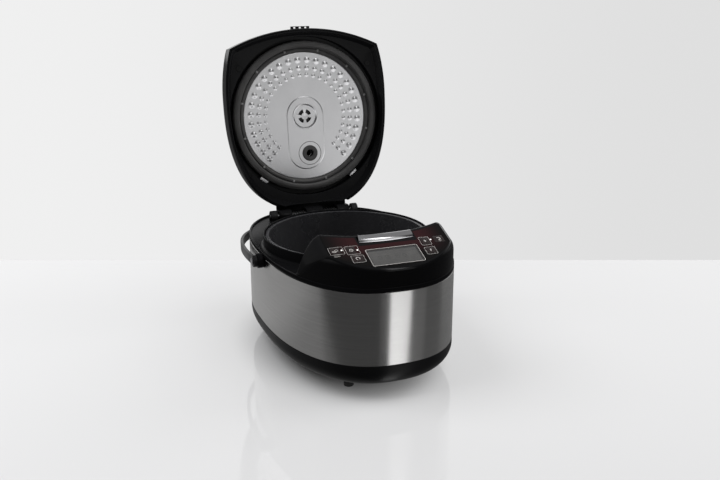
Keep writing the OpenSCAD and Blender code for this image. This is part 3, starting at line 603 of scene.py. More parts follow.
# Springs: plain drawn wire. One pair winds round the hinge pin, one stands under the sensor and one under
# the lid button. Each is a round wire swept along its coil.
def tube(name, path, radius, sides=10):
    """A round wire swept along a path of points, closed at both ends."""
    rings = []
    for k, here in enumerate(path):
        along = (path[min(k + 1, len(path) - 1)] - path[max(k - 1, 0)]).normalized()
        side = along.orthogonal() if k == 0 else (side - along * side.dot(along))
        side = side.normalized()
        other = along.cross(side)
        rings.append([here + (side * math.cos(a) + other * math.sin(a)) * radius
                      for a in (2 * math.pi * i / sides for i in range(sides))])
    return soften(skin(name, capped(rings)), 0, 50)


def coil_path(start, along, radius, rise, turns, steps=28):
    """Points of a coil that climbs from a start along an axis, which is an upright or a sideways one."""
    points = []
    for k in range(turns * steps + 1):
        a = 2 * math.pi * k / steps
        flat = (radius * math.cos(a), radius * math.sin(a), rise * k / (turns * steps))
        points.append(Vector(start) + (Vector(flat) if along == "Z" else Vector((flat[2], flat[0], flat[1]))))
    return points


spring_wire = polished("spring_wire", (0.12, 0.12, 0.12), 0.35, 0.01)
HINGE = 152.4, 160
hinge_coils = [tube("coil", coil_path((x, *HINGE), "X", 5.4, 19.6, 5), 0.88) for x in (16.2, -35.8)]
fit(join("hinge_coils", hinge_coils), spring_wire, "body", "hinge_springs")
sensor_coil = tube("sensor_coil", coil_path((0, 0, 21.8), "Z", 8, 9.6, 4), 0.58)
fit(sensor_coil, spring_wire, "body", "sensor_spring")
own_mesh(sensor_coil)
button_coil = tube("button_coil", coil_path((0, -153.8, 179.2), "Z", 4.35, 12.6, 4), 0.48)
fit(button_coil, spring_wire, "body", "button_spring")
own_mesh(button_coil)


# Hinge: a folded steel bracket screwed under the deck, whose round-nosed ears hold a long plain pin.
def across_bar(name, low, high, centre, radius, steps=48):
    """A round bar lying across the cooker, between two places, about a centre (y, z)."""
    low, high = sorted((low, high))
    piece = begin(name, bpy.ops.mesh.primitive_cylinder_add, vertices=steps, radius=radius * MM,
                  depth=(high - low) * MM)
    middle = at(((low + high) / 2, *centre))
    piece.data.transform(Matrix.Translation(middle) @ Matrix.Rotation(math.radians(90), 4, "Y"))
    return piece


hinge_steel = polished("hinge_steel", (0.46, 0.46, 0.47), 0.38, 0.03)
bracket = [block("plate", (-76, 139.4, 148), (76, 163.4, 150), 0.4)]
for ear, pad in (((-72, -62.5), (-81.5, -73.5)), ((62.5, 72), (73.5, 81.5))):
    bracket += [block("ear", (ear[0], 144.4, 149.9), (ear[1], 160.4, 160), 0.3),
                soften(across_bar("nose", *ear, HINGE, 9), 0.5),
                block("pad", (pad[0], 140.4, 149.9), (pad[1], 156.4, 153), 0.3)]
inner_black = textured_black("inner_black", (0.012, 0.012, 0.0125), 0.45, 0.03)
fit(join("hinge_ears", bracket), inner_black, "body", "hinge_bracket")
pin = soften(across_bar("hinge_rod", -73.5, 73.5, HINGE, 3), 0.4)
fit(pin, hinge_steel, "body", "hinge_pin")


# Control panel: a polished black housing over the front of the deck, hollow inside, with a recess for the
# overlay, a long slot for the lid button and a hole for the hook.
PANEL_Y, PANEL_Z = 181.8, 191.5
PANEL_FLAT, PANEL_END, PANEL_LOW = 80, 112, 155.2
PANEL_ARC, PANEL_ARC_Y = 277.4, 139.4
DROOP_OVER, DROOP = 23, 30


def joint(name):
    return next(joint for joint in frame["joints"] if joint["name"] == name)


panel_out = -Vector(joint("plus_key_press")["axis"]).normalized()
panel_up = panel_out.cross(Vector((1, 0, 0))).normalized()
slope = panel_up.z / panel_up.y


def on_panel(u, v, w=0.0):
    """A point in panel axes: across, up the slope and out of it, from the display's middle."""
    return Vector((u, -PANEL_Y, PANEL_Z)) + panel_up * v + panel_out * w


def panel_path(*points):
    return [on_panel(u, v) for u, v in points]


def front_y(x, inset):
    ratio = abs(x) / (body_half - inset)
    return BODY_MID - (BODY_FRONT - inset) * (1 - ratio ** BODY_SQUARE) ** (1 / BODY_SQUARE)


def back_y(x):
    return PANEL_ARC_Y - math.sqrt(PANEL_ARC ** 2 - x ** 2)


def panel_z(x, y):
    return PANEL_Z + (y + PANEL_Y) * slope - DROOP * (max(0, abs(x) - PANEL_FLAT) / DROOP_OVER) ** 2


def housing_section(x):
    back, front = back_y(x), front_y(x, 1.2)
    depth = back - front
    rear, nose, lip = min(1.5, 0.2 * depth), min(4, 0.4 * depth), min(1.4, 0.15 * depth)
    points = [(back, PANEL_LOW, 0), (back, panel_z(x, back) - 1.5, 3.8), (back - rear, panel_z(x, back - rear), 4.6),
              (front + nose, panel_z(x, front + nose), 4.5), (front + lip, panel_z(x, front + lip) - 1, 4.1),
              (front, panel_z(x, front) - 3.5, 3.5), (front, PANEL_LOW, 0)]
    return rounded_path([(x, y, max(PANEL_LOW + least, z)) for y, z, least in points], 1.6, steps=3)


def core_section(x):
    back, front = back_y(x) - 2.5, front_y(x, 1.2) + 3.7
    points = [(back, PANEL_LOW - 1), (back, panel_z(x, back) - 5), (back - 1, panel_z(x, back - 1) - 4.6),
              (front + 3.5, panel_z(x, front + 3.5) - 4.6), (front, panel_z(x, front) - 7), (front, PANEL_LOW - 1)]
    return [Vector((x, y, z)) for y, z in points]


def swept_sections(name, section, end):
    return skin(name, capped([section(end * math.sin(math.radians(90 * k / 56))) for k in range(-56, 57)]))


def prism(name, outline, rise):
    """A flat outline of points, extruded by a vector in millimetres."""
    piece = begin(name, bpy.ops.mesh.primitive_circle_add, vertices=len(outline), fill_type="NGON")
    for vertex, point in zip(piece.data.vertices, outline):
        vertex.co = at(point)
    bpy.ops.object.mode_set(mode="EDIT")
    bpy.ops.mesh.select_all(action="SELECT")
    bpy.ops.mesh.extrude_region_move(TRANSFORM_OT_translate={"value": Vector(rise) * MM})
    bpy.ops.mesh.select_all(action="SELECT")
    bpy.ops.mesh.normals_make_consistent(inside=False)
    bpy.ops.object.mode_set(mode="OBJECT")
    return piece


def panel_prism(name, points, low, high):
    """A prism on points of the panel, from one height over it to another."""
    return prism(name, [point + panel_out * low for point in points], panel_out * (high - low))


def overlay_outline(inset=0.0):
    """Corners of the overlay in panel axes; it is notched behind for the lid button."""
    def up_slope(y):
        return (y + PANEL_Y) / panel_up.y

    half, notch = 84 - inset, 41 + inset
    front = [(half * k / 24, up_slope(front_y(half * k / 24, 0)) + 5.5 + inset) for k in range(-24, 25)]
    side = [notch + (half - notch) * k / 8 for k in range(8, -1, -1)]
    behind = [(u, up_slope(back_y(u)) - 6 - inset) for u in side]
    return front + behind + [(notch, 26 - inset), (-notch, 26 - inset)] + [(-u, v) for u, v in reversed(behind)]


OVERLAY_THICK = 2
housing = swept_sections("panel_housing_shell", housing_section, PANEL_END)
core = swept_sections("core", core_section, PANEL_END - 8)
pocket = panel_prism("pocket", panel_path(*overlay_outline(-0.15)), -OVERLAY_THICK - 0.05, 6)
window = panel_prism("window", panel_path(*overlay_outline(2)), -9, 6)
BUTTON_HALF, BUTTON_INNER, BUTTON_OUTER, BUTTON_GAP = 38, 281, 292, 0.6


def button_arc(radius, count=48):
    reach = math.asin((BUTTON_HALF + BUTTON_GAP) / radius)
    turns = [-reach + 2 * reach * k / count for k in range(count + 1)]
    return [(radius * math.sin(a), PANEL_ARC_Y - radius * math.cos(a), 180) for a in turns]


button_slot = prism("slot", button_arc(BUTTON_OUTER + BUTTON_GAP) + button_arc(BUTTON_INNER - BUTTON_GAP)[::-1],
                    (0, 0, 40))
hook_slot = block("hook_slot", (-17, -143, 177), (17, -135, 217))
rim_rebate = prism("rebate", body_ring(-1, 153), (0, 0, 4.8))
rim_core = prism("rebate_core", body_ring(3.3, 152), (0, 0, 8))
cut(rim_rebate, rim_core)
cut(housing, core, pocket, window, button_slot, hook_slot, rim_rebate)
housing_black = textured_black("housing_black", (0.004, 0.004, 0.0045), 0.13, 0.004, 0.15, Coat_Weight=0.3,
                               Coat_Roughness=0.06)
fit(soften(housing, 0, 34), housing_black, "body", "panel_housing")


# Overlay: a clear-coated dark sheet set flush in the housing, tinted a deep red-brown towards the lid.
# Pale frames are printed on it round five of the six keys and round the display.
KEYS = {"menu": (-75, 21.5, 12, 13), "timer": (-53.5, 19, 11, 15), "minus": (-50.5, 1.5, 15, 12),
        "plus": (50, 21, 11, 15), "start": (70, 22, 14, 13), "cancel": (50.5, 1.5, 13, 12)}
LIGHTS = ((-65.7, 22), (-45.3, 19), (58.8, 23))
DISPLAY = (70, 32)


def panel_rectangle(u, v, wide, high, grow=0.0, corner_r=0.0):
    half_u, half_v = wide / 2 + grow, high / 2 + grow
    corners = [(u - half_u, v - half_v), (u + half_u, v - half_v), (u + half_u, v + half_v), (u - half_u, v + half_v)]
    flat = rounded_path([Vector((a, b, 0)) for a, b in corners], corner_r, steps=6) if corner_r else corners
    return panel_path(*(point[:2] for point in flat))


def printed_line(name, points, width, w=0.02, closed=False):
    """A raised line of ink 0.03 mm thick along points on the panel."""
    count, rings = len(points), []
    for k, here in enumerate(points):
        before = points[k - 1] if closed or k else here
        after = points[(k + 1) % count] if closed or k < count - 1 else here
        aside = (after - before).normalized().cross(panel_out) * width / 2
        rings.append([here + aside * a + panel_out * (w + b)
                      for a, b in ((-1, 0), (1, 0), (1, 0.03), (-1, 0.03))])
    return skin(name, rings if closed else capped(rings), closed=closed)


def panel_arc(u, v, radius, start=0, end=360, wide=1.0, count=28):
    turns = [math.radians(start + (end - start) * k / count) for k in range(count + (start % 360 != end % 360))]
    return [on_panel(u + radius * wide * math.cos(a), v + radius * math.sin(a)) for a in turns]


overlay_gloss = Finish("overlay_gloss", (0.02, 0.006, 0.006), 0.08, Coat_Weight=0.12, Coat_Roughness=0.03,
                       Specular_IOR_Level=0.15)
overlay_place = overlay_gloss.axis(1) * panel_up.y + overlay_gloss.axis(2) * panel_up.z
middle = at(on_panel(0, 0)).dot(panel_up)
warmth = overlay_place.ramp(middle - 4 * MM, middle + 24 * MM) * (
    overlay_gloss.axis(0).ramp(-84 * MM, -45 * MM) - overlay_gloss.axis(0).ramp(45 * MM, 84 * MM))
overlay_gloss.feed("Base Color", overlay_gloss.blend(warmth, (0.003, 0.0025, 0.0025), (0.024, 0.007, 0.008)))
overlay_gloss.mottle("Roughness", 40, 0.06, 0.11)
overlay = panel_prism("overlay_sheet", panel_path(*overlay_outline()), -OVERLAY_THICK, 0)
openings = [panel_rectangle(*place, 0.3, 1.0) for place in KEYS.values()]
openings += [panel_rectangle(0, 0, *DISPLAY, 0.1, 1.2)] + [panel_arc(u, v, 1.3) for u, v in LIGHTS]
cut(overlay, *[panel_prism("hole", opening, -4, 4) for opening in openings])
fit(overlay, overlay_gloss, "body", "panel_overlay")

ink_white = Finish("ink_white", (0.62, 0.6, 0.58), 0.45)
ink_white.mottle("Base Color", 700, (0.5, 0.48, 0.46), (0.68, 0.66, 0.64))
key_frames = ((-73, 21.5, 19, 14.6), (-52, 19.5, 17.4, 17), (-50, 1.2, 16.8, 14), (50, 21, 14, 16.6),
              (50.3, 1, 14.6, 14.4))
frames = [printed_line("frame", panel_rectangle(*spot, 0, 1.6), 0.34, closed=True) for spot in key_frames]
frames.append(printed_line("frame", panel_rectangle(0, 0, *DISPLAY, 0.7, 2.4), 0.6, closed=True))
frames += [printed_line("rule", panel_path((-79, v), (-71, v)), 0.35) for v in (11.6, 9.8)]
fit(join("overlay_print", frames), ink_white, "body", slot="overlay_gloss")


# Keys: six square caps flush with the overlay, each on a round stem over its switch, with a small printed
# sign on top. The signs are plain shapes: a bowl, a clock, a ring, a bar, a crescent and a stroke.
key_black = Finish("key_black", (0.016, 0.01, 0.01), 0.14, Coat_Weight=0.7, Coat_Roughness=0.05)
key_black.mottle("Roughness", 60, 0.1, 0.18)
SIGN_RISE = 0.2


def sign_strokes(key, u, v):
    """Lines of a key's sign round a spot: the points, the width and whether the line is closed."""
    def arc(du, dv, *shape):
        return panel_arc(u + du, v + dv, *shape)

    def path(*points):
        return panel_path(*((u + a, v + b) for a, b in points))

    return {"menu": ((arc(-1, -0.5, 2.4, 180, 360, 1.1), 0.7, False), (path((-3.6, -0.5), (1.6, -0.5)), 0.6, False),
                     (arc(2.2, 0.6, 1.6, 0, 360, 1.3), 0.45, True)),
            "timer": ((arc(0, 0.5, 2.3), 0.6, True), (path((0, 2), (0, 0.5), (1.2, 0.2)), 0.4, False)),
            "minus": ((arc(0, 0.4, 2.5, -50, 250), 0.75, False),),
            "plus": ((path((-0.8, 2.2), (0.6, -2)), 1.1, False), (path((-1.8, -0.2), (2, 0.6)), 0.8, False)),
            "start": ((arc(0, 0.6, 2.4, -110, 130), 1.0, False), (path((-1, -3.6), (3, -3.6)), 0.4, False)),
            "cancel": ((path((0, 2.2), (0, -1.4)), 1.2, False), (path((-1.4, -1.2), (0, 0.4)), 0.7, False))}[key]


for key, (u, v, wide, high) in KEYS.items():
    cap = soften(panel_prism("cap", panel_rectangle(u, v, wide, high, 0, 0.9), -2, SIGN_RISE), 0.15, 40)
    stem = soften(panel_prism("stem", panel_arc(u, v, 2), -8, -1.9), 0, 40)
    signs = [printed_line("sign", points, width, SIGN_RISE, closed)
             for points, width, closed in sign_strokes(key, u, v)]
    fit(join(key + "_cap", [cap, stem]), key_black, key + "_key_cap", key + "_key")
    fit(join(key + "_sign", signs), ink_white, key + "_key_cap", slot="key_black")


# Display: a clear window over an unlit liquid-crystal module, grey with a faint row of resting segments.
display_glass = Finish("display_glass", (0.1, 0.1, 0.1), 0.07, Coat_Weight=0.6, Alpha=0.35)
display_glass.mottle("Roughness", 50, 0.05, 0.1)
glass = panel_prism("display_pane", panel_rectangle(0, 0, *DISPLAY, -0.05, 1.0), -1.5, 0)
fit(soften(glass, 0.15, 40), display_glass, "body", "display_window")
display_grey = Finish("display_grey", (0.2, 0.2, 0.195), 0.4)
display_grey.mottle("Base Color", 26, (0.14, 0.136, 0.132), (0.23, 0.222, 0.21), 2)
module = panel_prism("display_block", panel_rectangle(0, 0, 66, 28), -11.4, -1.7)
fit(soften(module, 0.2), display_grey, "body", "display_module")
segment_grey = Finish("segment_grey", (0.15, 0.15, 0.145), 0.5)
segment_grey.mottle("Base Color", 80, (0.07, 0.07, 0.068), (0.1, 0.1, 0.095))
BARS = [((-1.9, v), (1.9, v)) for v in (3.2, -3.2, 0)]
BARS += [((u, v + 1.2), (u, v - 1.2)) for u, v in ((-2.4, 1.6), (2.4, 1.6), (-2.4, -1.6), (2.4, -1.6))]
segments = [printed_line("segment", panel_path(*((digit + u, v) for u, v in bar)), 0.7, -1.68)
            for digit in (-21, -11, 3, 13) for bar in BARS]
fit(join("resting_segments", segments), segment_grey, "body", slot="display_grey")


# Lamps: three clear light pipes, bright at the tip, that end in small holes beside their keys.
lamp_clear = Finish("lamp_clear", (0.85, 0.84, 0.8), 0.2, Emission_Strength=1.0)
outwards = lamp_clear.axis(1) * panel_out.y + lamp_clear.axis(2) * panel_out.z
tip = outwards > at(on_panel(0, 0, -0.5)).dot(panel_out)
lamp_clear.feed("Emission Color", lamp_clear.blend(tip, (0, 0, 0), (1.0, 0.97, 0.95)))
lamp_clear.mottle("Roughness", 200, 0.15, 0.3)
pipes = [soften(panel_prism("pipe", panel_arc(u, v, 1.2), -11.4, 0), 0.25, 40) for u, v in LIGHTS]
fit(join("light_pipes", pipes), lamp_clear, "body", "indicator_lights")


# Behind the panel: a moulded chassis that guides the keys, the control board with its six switches, and
# the power board that stands on the base in front of the well. They keep the shapes of the construction.
def clad(node, finish):
    """Dresses a construction piece that needs no finer shape."""
    piece = frame["nodes"][node]
    for place in piece.material_slots:
        place.material = finish.material


circuit_green = Finish("circuit_green", (0.03, 0.12, 0.05), 0.35)
tracks = circuit_green.node("ShaderNodeTexBrick", {"offset": 0.37}, {
    "Vector": circuit_green.place, "Color1": (0.03, 0.13, 0.05, 1), "Color2": (0.02, 0.09, 0.035, 1),
    "Mortar": (0.16, 0.13, 0.05, 1), "Scale": 260.0, "Mortar Size": 0.06})
circuit_green.feed("Base Color", tracks)
for node in ("panel_chassis", "tact_switches"):
    clad(node, inner_black)
for node in ("control_board", "power_board"):
    clad(node, circuit_green)


# Lid button: a chromed bar that follows the lid's front edge, with rounded shoulders. A stem under it
# presses the toe of a steel hook, which turns on a pin in a small frame that stands on the deck.
button_chrome = Finish("button_chrome", (0.82, 0.82, 0.84), 0.09, 1.0)
button_chrome.mottle("Roughness", 60, 0.06, 0.13)
button_chrome.bump(button_chrome.noise(140, 2), 0.02 * MM)
button_section = rounded_path([(BUTTON_INNER, 197), (BUTTON_OUTER, 195), (BUTTON_OUTER, 203.5), (290.8, 206.5),
                               (288, 208.8), (285, 210.6), (282.2, 209.8), (BUTTON_INNER, 207.6)], 1.6, steps=4)
button_rings = []
for k in range(-40, 41):
    a = math.asin(BUTTON_HALF / BUTTON_OUTER) * math.sin(math.radians(90 * k / 40))
    button_rings.append([(r * math.sin(a), PANEL_ARC_Y - r * math.cos(a), z) for r, z in button_section])
bar = soften(skin("lid_button_bar", capped(button_rings)), 0.9, 50, 4)
foot = block("foot", (-6, -155, 193), (6, -147, 196.5), 0.3)
stem = block("stem", (-3.5, -155, 176.9), (3.5, -152.6, 193.9), 0.3)
fit(join("lid_button_bar", [bar, foot, stem]), button_chrome, "lid_button", "release_button")
for node in ("latch_frame", "latch_pin", "latch_hook"):
    clad(node, hinge_steel)


# Power inlet: a moulded socket at the back of the band, open to the rear, with three brass blades inside.
flange = block("inlet_socket", (-16, 190.1, inlet_mid - 15), (16, 192.1, inlet_mid + 15))
cut(flange, block("throat", (-13.5, 172, inlet_mid - 12), (13.5, 191.5, inlet_mid + 12)), operation="UNION")
cut(flange, block("mouth", (-11.5, 175, inlet_mid - 8.5), (11.5, 196, inlet_mid + 8.5)))
fit(soften(flange, 0.5, 40), inner_black, "body", "power_inlet")
contact_brass = polished("contact_brass", (0.72, 0.55, 0.27), 0.3, 0.01)
blades = [block("blade", (x - 1, 168, inlet_mid + z - 2), (x + 1, 185, inlet_mid + z + 2), 0.4)
          for x, z in ((-7, -2), (0, 3), (7, -2))]
fit(join("inlet_blades", blades), contact_brass, "body", "inlet_pins")


# Carrying handle: a moulded strap swept round the back of the body, with an eye at each end. It swings on
# headed steel pins that pass through round black bosses on the band.
PIVOT = PIVOT_Y, PIVOT_Z = -10, 146
EYE_X = 141.2
STRAP_REACH, STRAP_SQUARE, STRAP_DROOP = 221, 2.6, -5
handle_black = textured_black("handle_black", (0.009, 0.009, 0.0095), 0.34, 0.015, 0.2)


def strap_point(turn):
    a = math.radians(turn)
    return Vector((EYE_X * power(math.cos(a), 2 / STRAP_SQUARE),
                   PIVOT_Y + STRAP_REACH * max(0, math.sin(a)) ** (2 / STRAP_SQUARE), PIVOT_Z))


strap_turns = [90 - 90 * math.cos(math.radians(180 * k / 120)) for k in range(121)]
strap_section = rounded_path([(-2.5, -6.5), (-2.5, 6.5), (2.5, 6.5), (2.5, -6.5)], 1.6, steps=4)
strap_rings = []
for turn in strap_turns:
    along = (strap_point(min(turn + 0.5, 180)) - strap_point(max(turn - 0.5, 0))).normalized()
    outward = Vector((along.y, -along.x, 0))
    strap_rings.append([strap_point(turn) + outward * a + Vector((0, 0, b)) for a, b in strap_section])
strap = skin("handle_strap", capped(strap_rings))
eyes = [soften(across_bar("eye", x - 2.8, x + 2.8, PIVOT, 8.5, 64), 0.9, 50) for x in (EYE_X, -EYE_X)]
handle = join("handle_strap", [soften(strap, 0, 40)] + eyes)
handle.data.transform(turn_about(at((0, *PIVOT)), STRAP_DROOP, "X"))
fit(handle, handle_black, "carrying_handle", "bail_handle")


def pivot_bars(*bars):
    """Round bars on the handle's pivot, on both sides: from and to, radius, rounding and number of sides."""
    return [soften(across_bar("bar", low * side, high * side, PIVOT, radius, steps), rounding, 50)
            for side in (1, -1) for low, high, radius, rounding, steps in bars]


bosses = pivot_bars((130, 138, 10.5, 1.2, 72), (122, 130.5, 4.1, 0.3, 48))
pins = pivot_bars((123, 145, 3, 0.3, 48), (144.4, 146, 5, 0.6, 48))
fit(join("handle_bosses", bosses), deck_black, "body", "handle_brackets")
fit(join("handle_rivets", pins), hinge_steel, "body", "handle_pins")


# Lid shell: a domed black moulding, rounded behind and cut off in front by a flat arc. Like every piece of
# the lid it is drawn shut and then turned open about the hinge.
hinge = joint("lid_hinge_turn")
opening = turn_about(Vector(hinge["pos_m"]), hinge["range_deg"][0], "X")
LID_HALF, LID_WIDE_Y, LID_FRONT, LID_BACK, LID_BACK_SQUARE = 130, -34, 190, 182, 2.54
LID_ARC, LID_ARC_Y, LID_CORNER = 275.4, 139.4, 32.05
LID_TOP, LID_WALL, DOME_Y, LINER_Z = 228.3, 2.5, 6, 170


def fit_lid(piece, *arguments, slot=None):
    piece.data.transform(opening)
    return fit(piece, *arguments, slot=slot)


def lid_radius(a, inset):
    back = math.sin(a) >= 0
    half, reach, square = LID_HALF - inset, (LID_BACK if back else LID_FRONT) - inset, LID_BACK_SQUARE if back else 2
    radius = ((abs(math.cos(a)) / half) ** square + (abs(math.sin(a)) / reach) ** square) ** (-1 / square)
    if back:
        return radius
    offset = LID_ARC_Y - LID_WIDE_Y
    flat = offset * math.sin(a) + math.sqrt((LID_ARC - inset) ** 2 - (offset * math.cos(a)) ** 2)
    return min(radius, flat)


LID_TURNS = [2 * k for k in range(90)]
LID_TURNS += [180 + LID_CORNER * k / 14 for k in range(14)]
LID_TURNS += [180 + LID_CORNER + (180 - 2 * LID_CORNER) * k / 64 for k in range(64)]
LID_TURNS += [360 - LID_CORNER * (1 - k / 14) for k in range(14)]


def lid_ring(inset, z, grow=1.0):
    ring = []
    for degrees in LID_TURNS:
        a = math.radians(degrees)
        radius = lid_radius(a, inset)
        y = LID_WIDE_Y + radius * math.sin(a)
        ring.append((radius * math.cos(a) * grow, (y - DOME_Y) * grow + DOME_Y, z))
    return ring


lid_outside = [lid_ring(*spot) for spot in (
    (0.5, 160), (0.12, 160.15), (0, 160.6), (0, 163), (0, 184), (2, 194), (6.5, 203), (15, 210.5), (15, 218, 0.85),
    (15, 224, 0.6), (15, 227.6, 0.3), (15, LID_TOP, 0.03))]
lid_inside = [lid_ring(*spot) for spot in (
    (17.5, LID_TOP - LID_WALL, 0.03), (17.5, 221.2, 0.6), (17.5, 215.2, 0.85), (17, 207.5), (9, 201), (4.6, 193),
    (LID_WALL, 184), (LID_WALL, 160.4), (2.1, 160))]
shell = skin("lid_dome", capped(lid_inside + rounded(lid_outside, 60, closed=False, steps=6),
                                (0, DOME_Y, LID_TOP - LID_WALL), (0, DOME_Y, LID_TOP)))
OUTLET = (5, 59)


def bore(radius, low, high, steps, centre):
    return turned("bore", [(0, low), (radius, low), (radius, high), (0, high)], steps, centre)


cut(shell, block("neck", (-59, 130, 159), (59, 158, 176)), bore(24.2, 200, 240, 96, OUTLET),
    block("catch_hole", (-15.1, -140, 181.9), (15.1, -128, 186.1)))
lid_black = textured_black("lid_black", (0.005, 0.005, 0.0055), 0.15, 0.004, 0.15)
fit_lid(soften(shell, 0, 34), lid_black, "lid", "lid_shell")


# Lid liner: the black underside moulding. A bevelled land runs round the rim, then a flat field, then the
# round well that takes the gasket and the inner lid. Four small dark screws hold it to the shell.
def outside_of(ring, radius):
    return [(x * max(1, radius / math.hypot(x, y)), y * max(1, radius / math.hypot(x, y)), z) for x, y, z in ring]


liner_black = textured_black("liner_black", (0.005, 0.005, 0.0055), 0.26, 0.008, 0.12)
field = outside_of(lid_ring(10, LINER_Z), 124.8)
liner_rings = [lid_ring(2.8, 160.4), lid_ring(4.8, 160.4), field, round_ring(field, 124.5, LINER_Z),
               round_ring(field, 124.5, 184), round_ring(field, 96, 184), round_ring(field, 96, 185.8),
               round_ring(field, 125.6, 185.8), round_ring(field, 125.6, 172), outside_of(lid_ring(8.6, 172), 125.9)]
liner = skin("lid_liner_moulding", rounded(liner_rings, 0.5), closed=True)
LID_SCREWS = ((-105, -79), (105, -79), (-100, 86), (100, 86))
counterbore = [(0, 168), (4.3, 168), (4.3, 170.9), (2.2, 170.9), (2.2, 175), (0, 175)]
cut(liner, block("neck", (-59, 138, 159), (59, 158, 173)),
    *[turned("counterbore", counterbore, 40, spot) for spot in LID_SCREWS])
fit_lid(soften(liner, 0, 34), liner_black, "lid", "lid_liner")

screw_steel = polished("screw_steel", (0.5, 0.5, 0.51), 0.35, 0.02)
screw_black = polished("screw_black", (0.02, 0.02, 0.02), 0.4, 0.02)


def screw(name, spot, z, length, shank, head):
    side = [(0, z), (head, z), (shank, z + 1.2), (shank, z + length), (0, z + length)]
    body = turned(name, rounded_path(side, 0.2), 40, spot)
    x, y = spot
    cut(body, block("slot", (x - 0.5, y - head * 0.7, z - 1), (x + 0.5, y + head * 0.7, z + 0.7)),
        block("slot", (x - head * 0.7, y - 0.5, z - 1), (x + head * 0.7, y + 0.5, z + 0.7)))
    return soften(body, 0, 34)


fit_lid(join("liner_screws", [screw("screw", spot, 169.1, 12, 1.8, 4) for spot in LID_SCREWS]), screw_black,
        "lid", "lid_screws")
fit(join("tray_screws", [screw("screw", spot, 12.05, 14, 2, 4) for spot in POST_SPOTS]), screw_steel, "body",
    "base_screws")
ear_screw = rounded_path([(0, 145.9), (3.2, 145.9), (3.2, 147.9), (1.5, 147.9), (1.5, 154.3), (0, 154.3)], 0.3)
ear_screws = [soften(turned("screw", ear_screw, 40, (x, 148.4)), 0, 34) for x in (77.5, -77.5)]
fit(join("ear_screws", ear_screws), screw_steel, "body", "bracket_screws")


# Lid hinge and catch: three black knuckles on a tongue inside the shell turn on the pin, and a plated
# catch with three slots looks out of the lid's front edge.
knuckles = [block("tongue", (-58, 128, 172.2), (58, 152.4, 175.6), 0.4)]
for low, high in ((-58, -38), (-14, 14), (38, 58)):
    barrel = across_bar("barrel", low, high, HINGE, 8.5, 64)
    knuckles += [soften(barrel, 0.6, 50), block("arm", (low, 144, 160), (high, 152.4, 175), 0.4)]
fit_lid(join("lid_knuckles", knuckles), liner_black, "lid", "lid_hinge")
catch = block("lid_catch_bar", (-15, -140, 182), (15, -131, 186))
cut(catch, *[block("slot", (x - 2, -139.2, 181), (x + 2, -136.6, 187)) for x in (-9, 0, 9)])
catch = join("lid_catch_bar", [soften(catch, 0.25, 40), block("back", (-18, -131.8, 179), (18, -130.2, 189), 0.3)])
fit_lid(catch, liner_black, "lid", "lid_catch", slot="inner_black")
clad("heat_shield", polished("shield_metal", (0.05, 0.05, 0.052), 0.5, 0.02))


# Inner lid: a spun aluminium disc with a rolled edge, pressed with three part rings of round dimples and a
# long oval bead. It has a hole for the vent and one for the steam outlet.
def bell(radius, depth, steps=9):
    """Profile of a pressed dimple: round in the middle, and easing into the sheet."""
    return [(radius * k / steps, -depth * (0.5 + 0.5 * math.cos(math.pi * k / steps))) for k in range(steps + 1)]


inner_lid_metal = Finish("inner_lid_metal", (0.72, 0.72, 0.73), 0.24, 1.0)
spun = inner_lid_metal.noise(34, 4)
inner_lid_metal.feed("Roughness", spun.ramp(0.3, 0.7, 0.29, 0.34))
inner_lid_metal.feed("Base Color", inner_lid_metal.blend(spun.ramp(0.2, 0.8), (0.7, 0.7, 0.71), (0.75, 0.75, 0.76)))
inner_lid_metal.bump(inner_lid_metal.noise(1200, 2), 0.006 * MM)
sheet = rounded_path([(19.2, 181), (19.8, 181), (98.4, 181), (99.2, 181), (100, 181.4), (100, 182), (19.2, 182)], 0.4)
disc = turned("inner_lid_disc", sheet, 180)
cut(disc, bore(9.6, 178, 185, 72, OUTLET))
pressed = [soften(disc, 0, 34)]
DIMPLE_RINGS, DIMPLES, DIMPLE_STEP = ((88.5, 5), (76, 4), (65, 3.2)), 28, 10.05
DIMPLE_FOOT, DIMPLE_DEPTH = 1.15, 0.2
for reach, radius in DIMPLE_RINGS:
    foot = radius * DIMPLE_FOOT
    profile = [(r, 181 + z) for r, z in bell(foot, radius * DIMPLE_DEPTH)] + [(foot, 181.3), (0, 181.3)]
    pattern = soften(turned("dimple", profile, 28), 0, 60)
    for k in range(DIMPLES):
        a = math.radians(-90 + (k - (DIMPLES - 1) / 2) * DIMPLE_STEP)
        dimple = pattern.copy()
        dimple.data = pattern.data.copy()
        bpy.context.scene.collection.objects.link(dimple)
        dimple.data.transform(Matrix.Translation((reach * math.cos(a) * MM, reach * math.sin(a) * MM, 0)))
        pressed.append(dimple)
    bpy.data.objects.remove(pattern)


def oblong(radius, z):
    """Oval round the vent and the outlet, seen from below."""
    ends = bend(0, -1, radius, range(180, 361, 5)) + bend(0, 54, radius, range(0, 181, 5))
    return [(x, y, z) for x, y in ends]


field_rings = [oblong(30 - inset, z) for inset, z in (
    (-0.9, 181.1), (-0.5, 180.98), (0, 180.8), (0.5, 180.6), (1.0, 180.52), (1.3, 180.5), (2, 180.5))]
raised = skin("raised_field", capped(field_rings, (0, 27, 181.3), (0, 27, 180.5)))
ring_line = turned("ring_line", [(18.1, 180), (18.9, 180), (18.7, 181), (18.3, 181)], 96, OUTLET)
cut(raised, ring_line, bore(19.2, 178, 185, 96, (0, 0)), bore(9.6, 178, 185, 72, OUTLET))
pressed.append(soften(raised, 0, 34))
fit_lid(join("inner_lid_disc", pressed), inner_lid_metal, "inner_lid_set", "inner_lid")


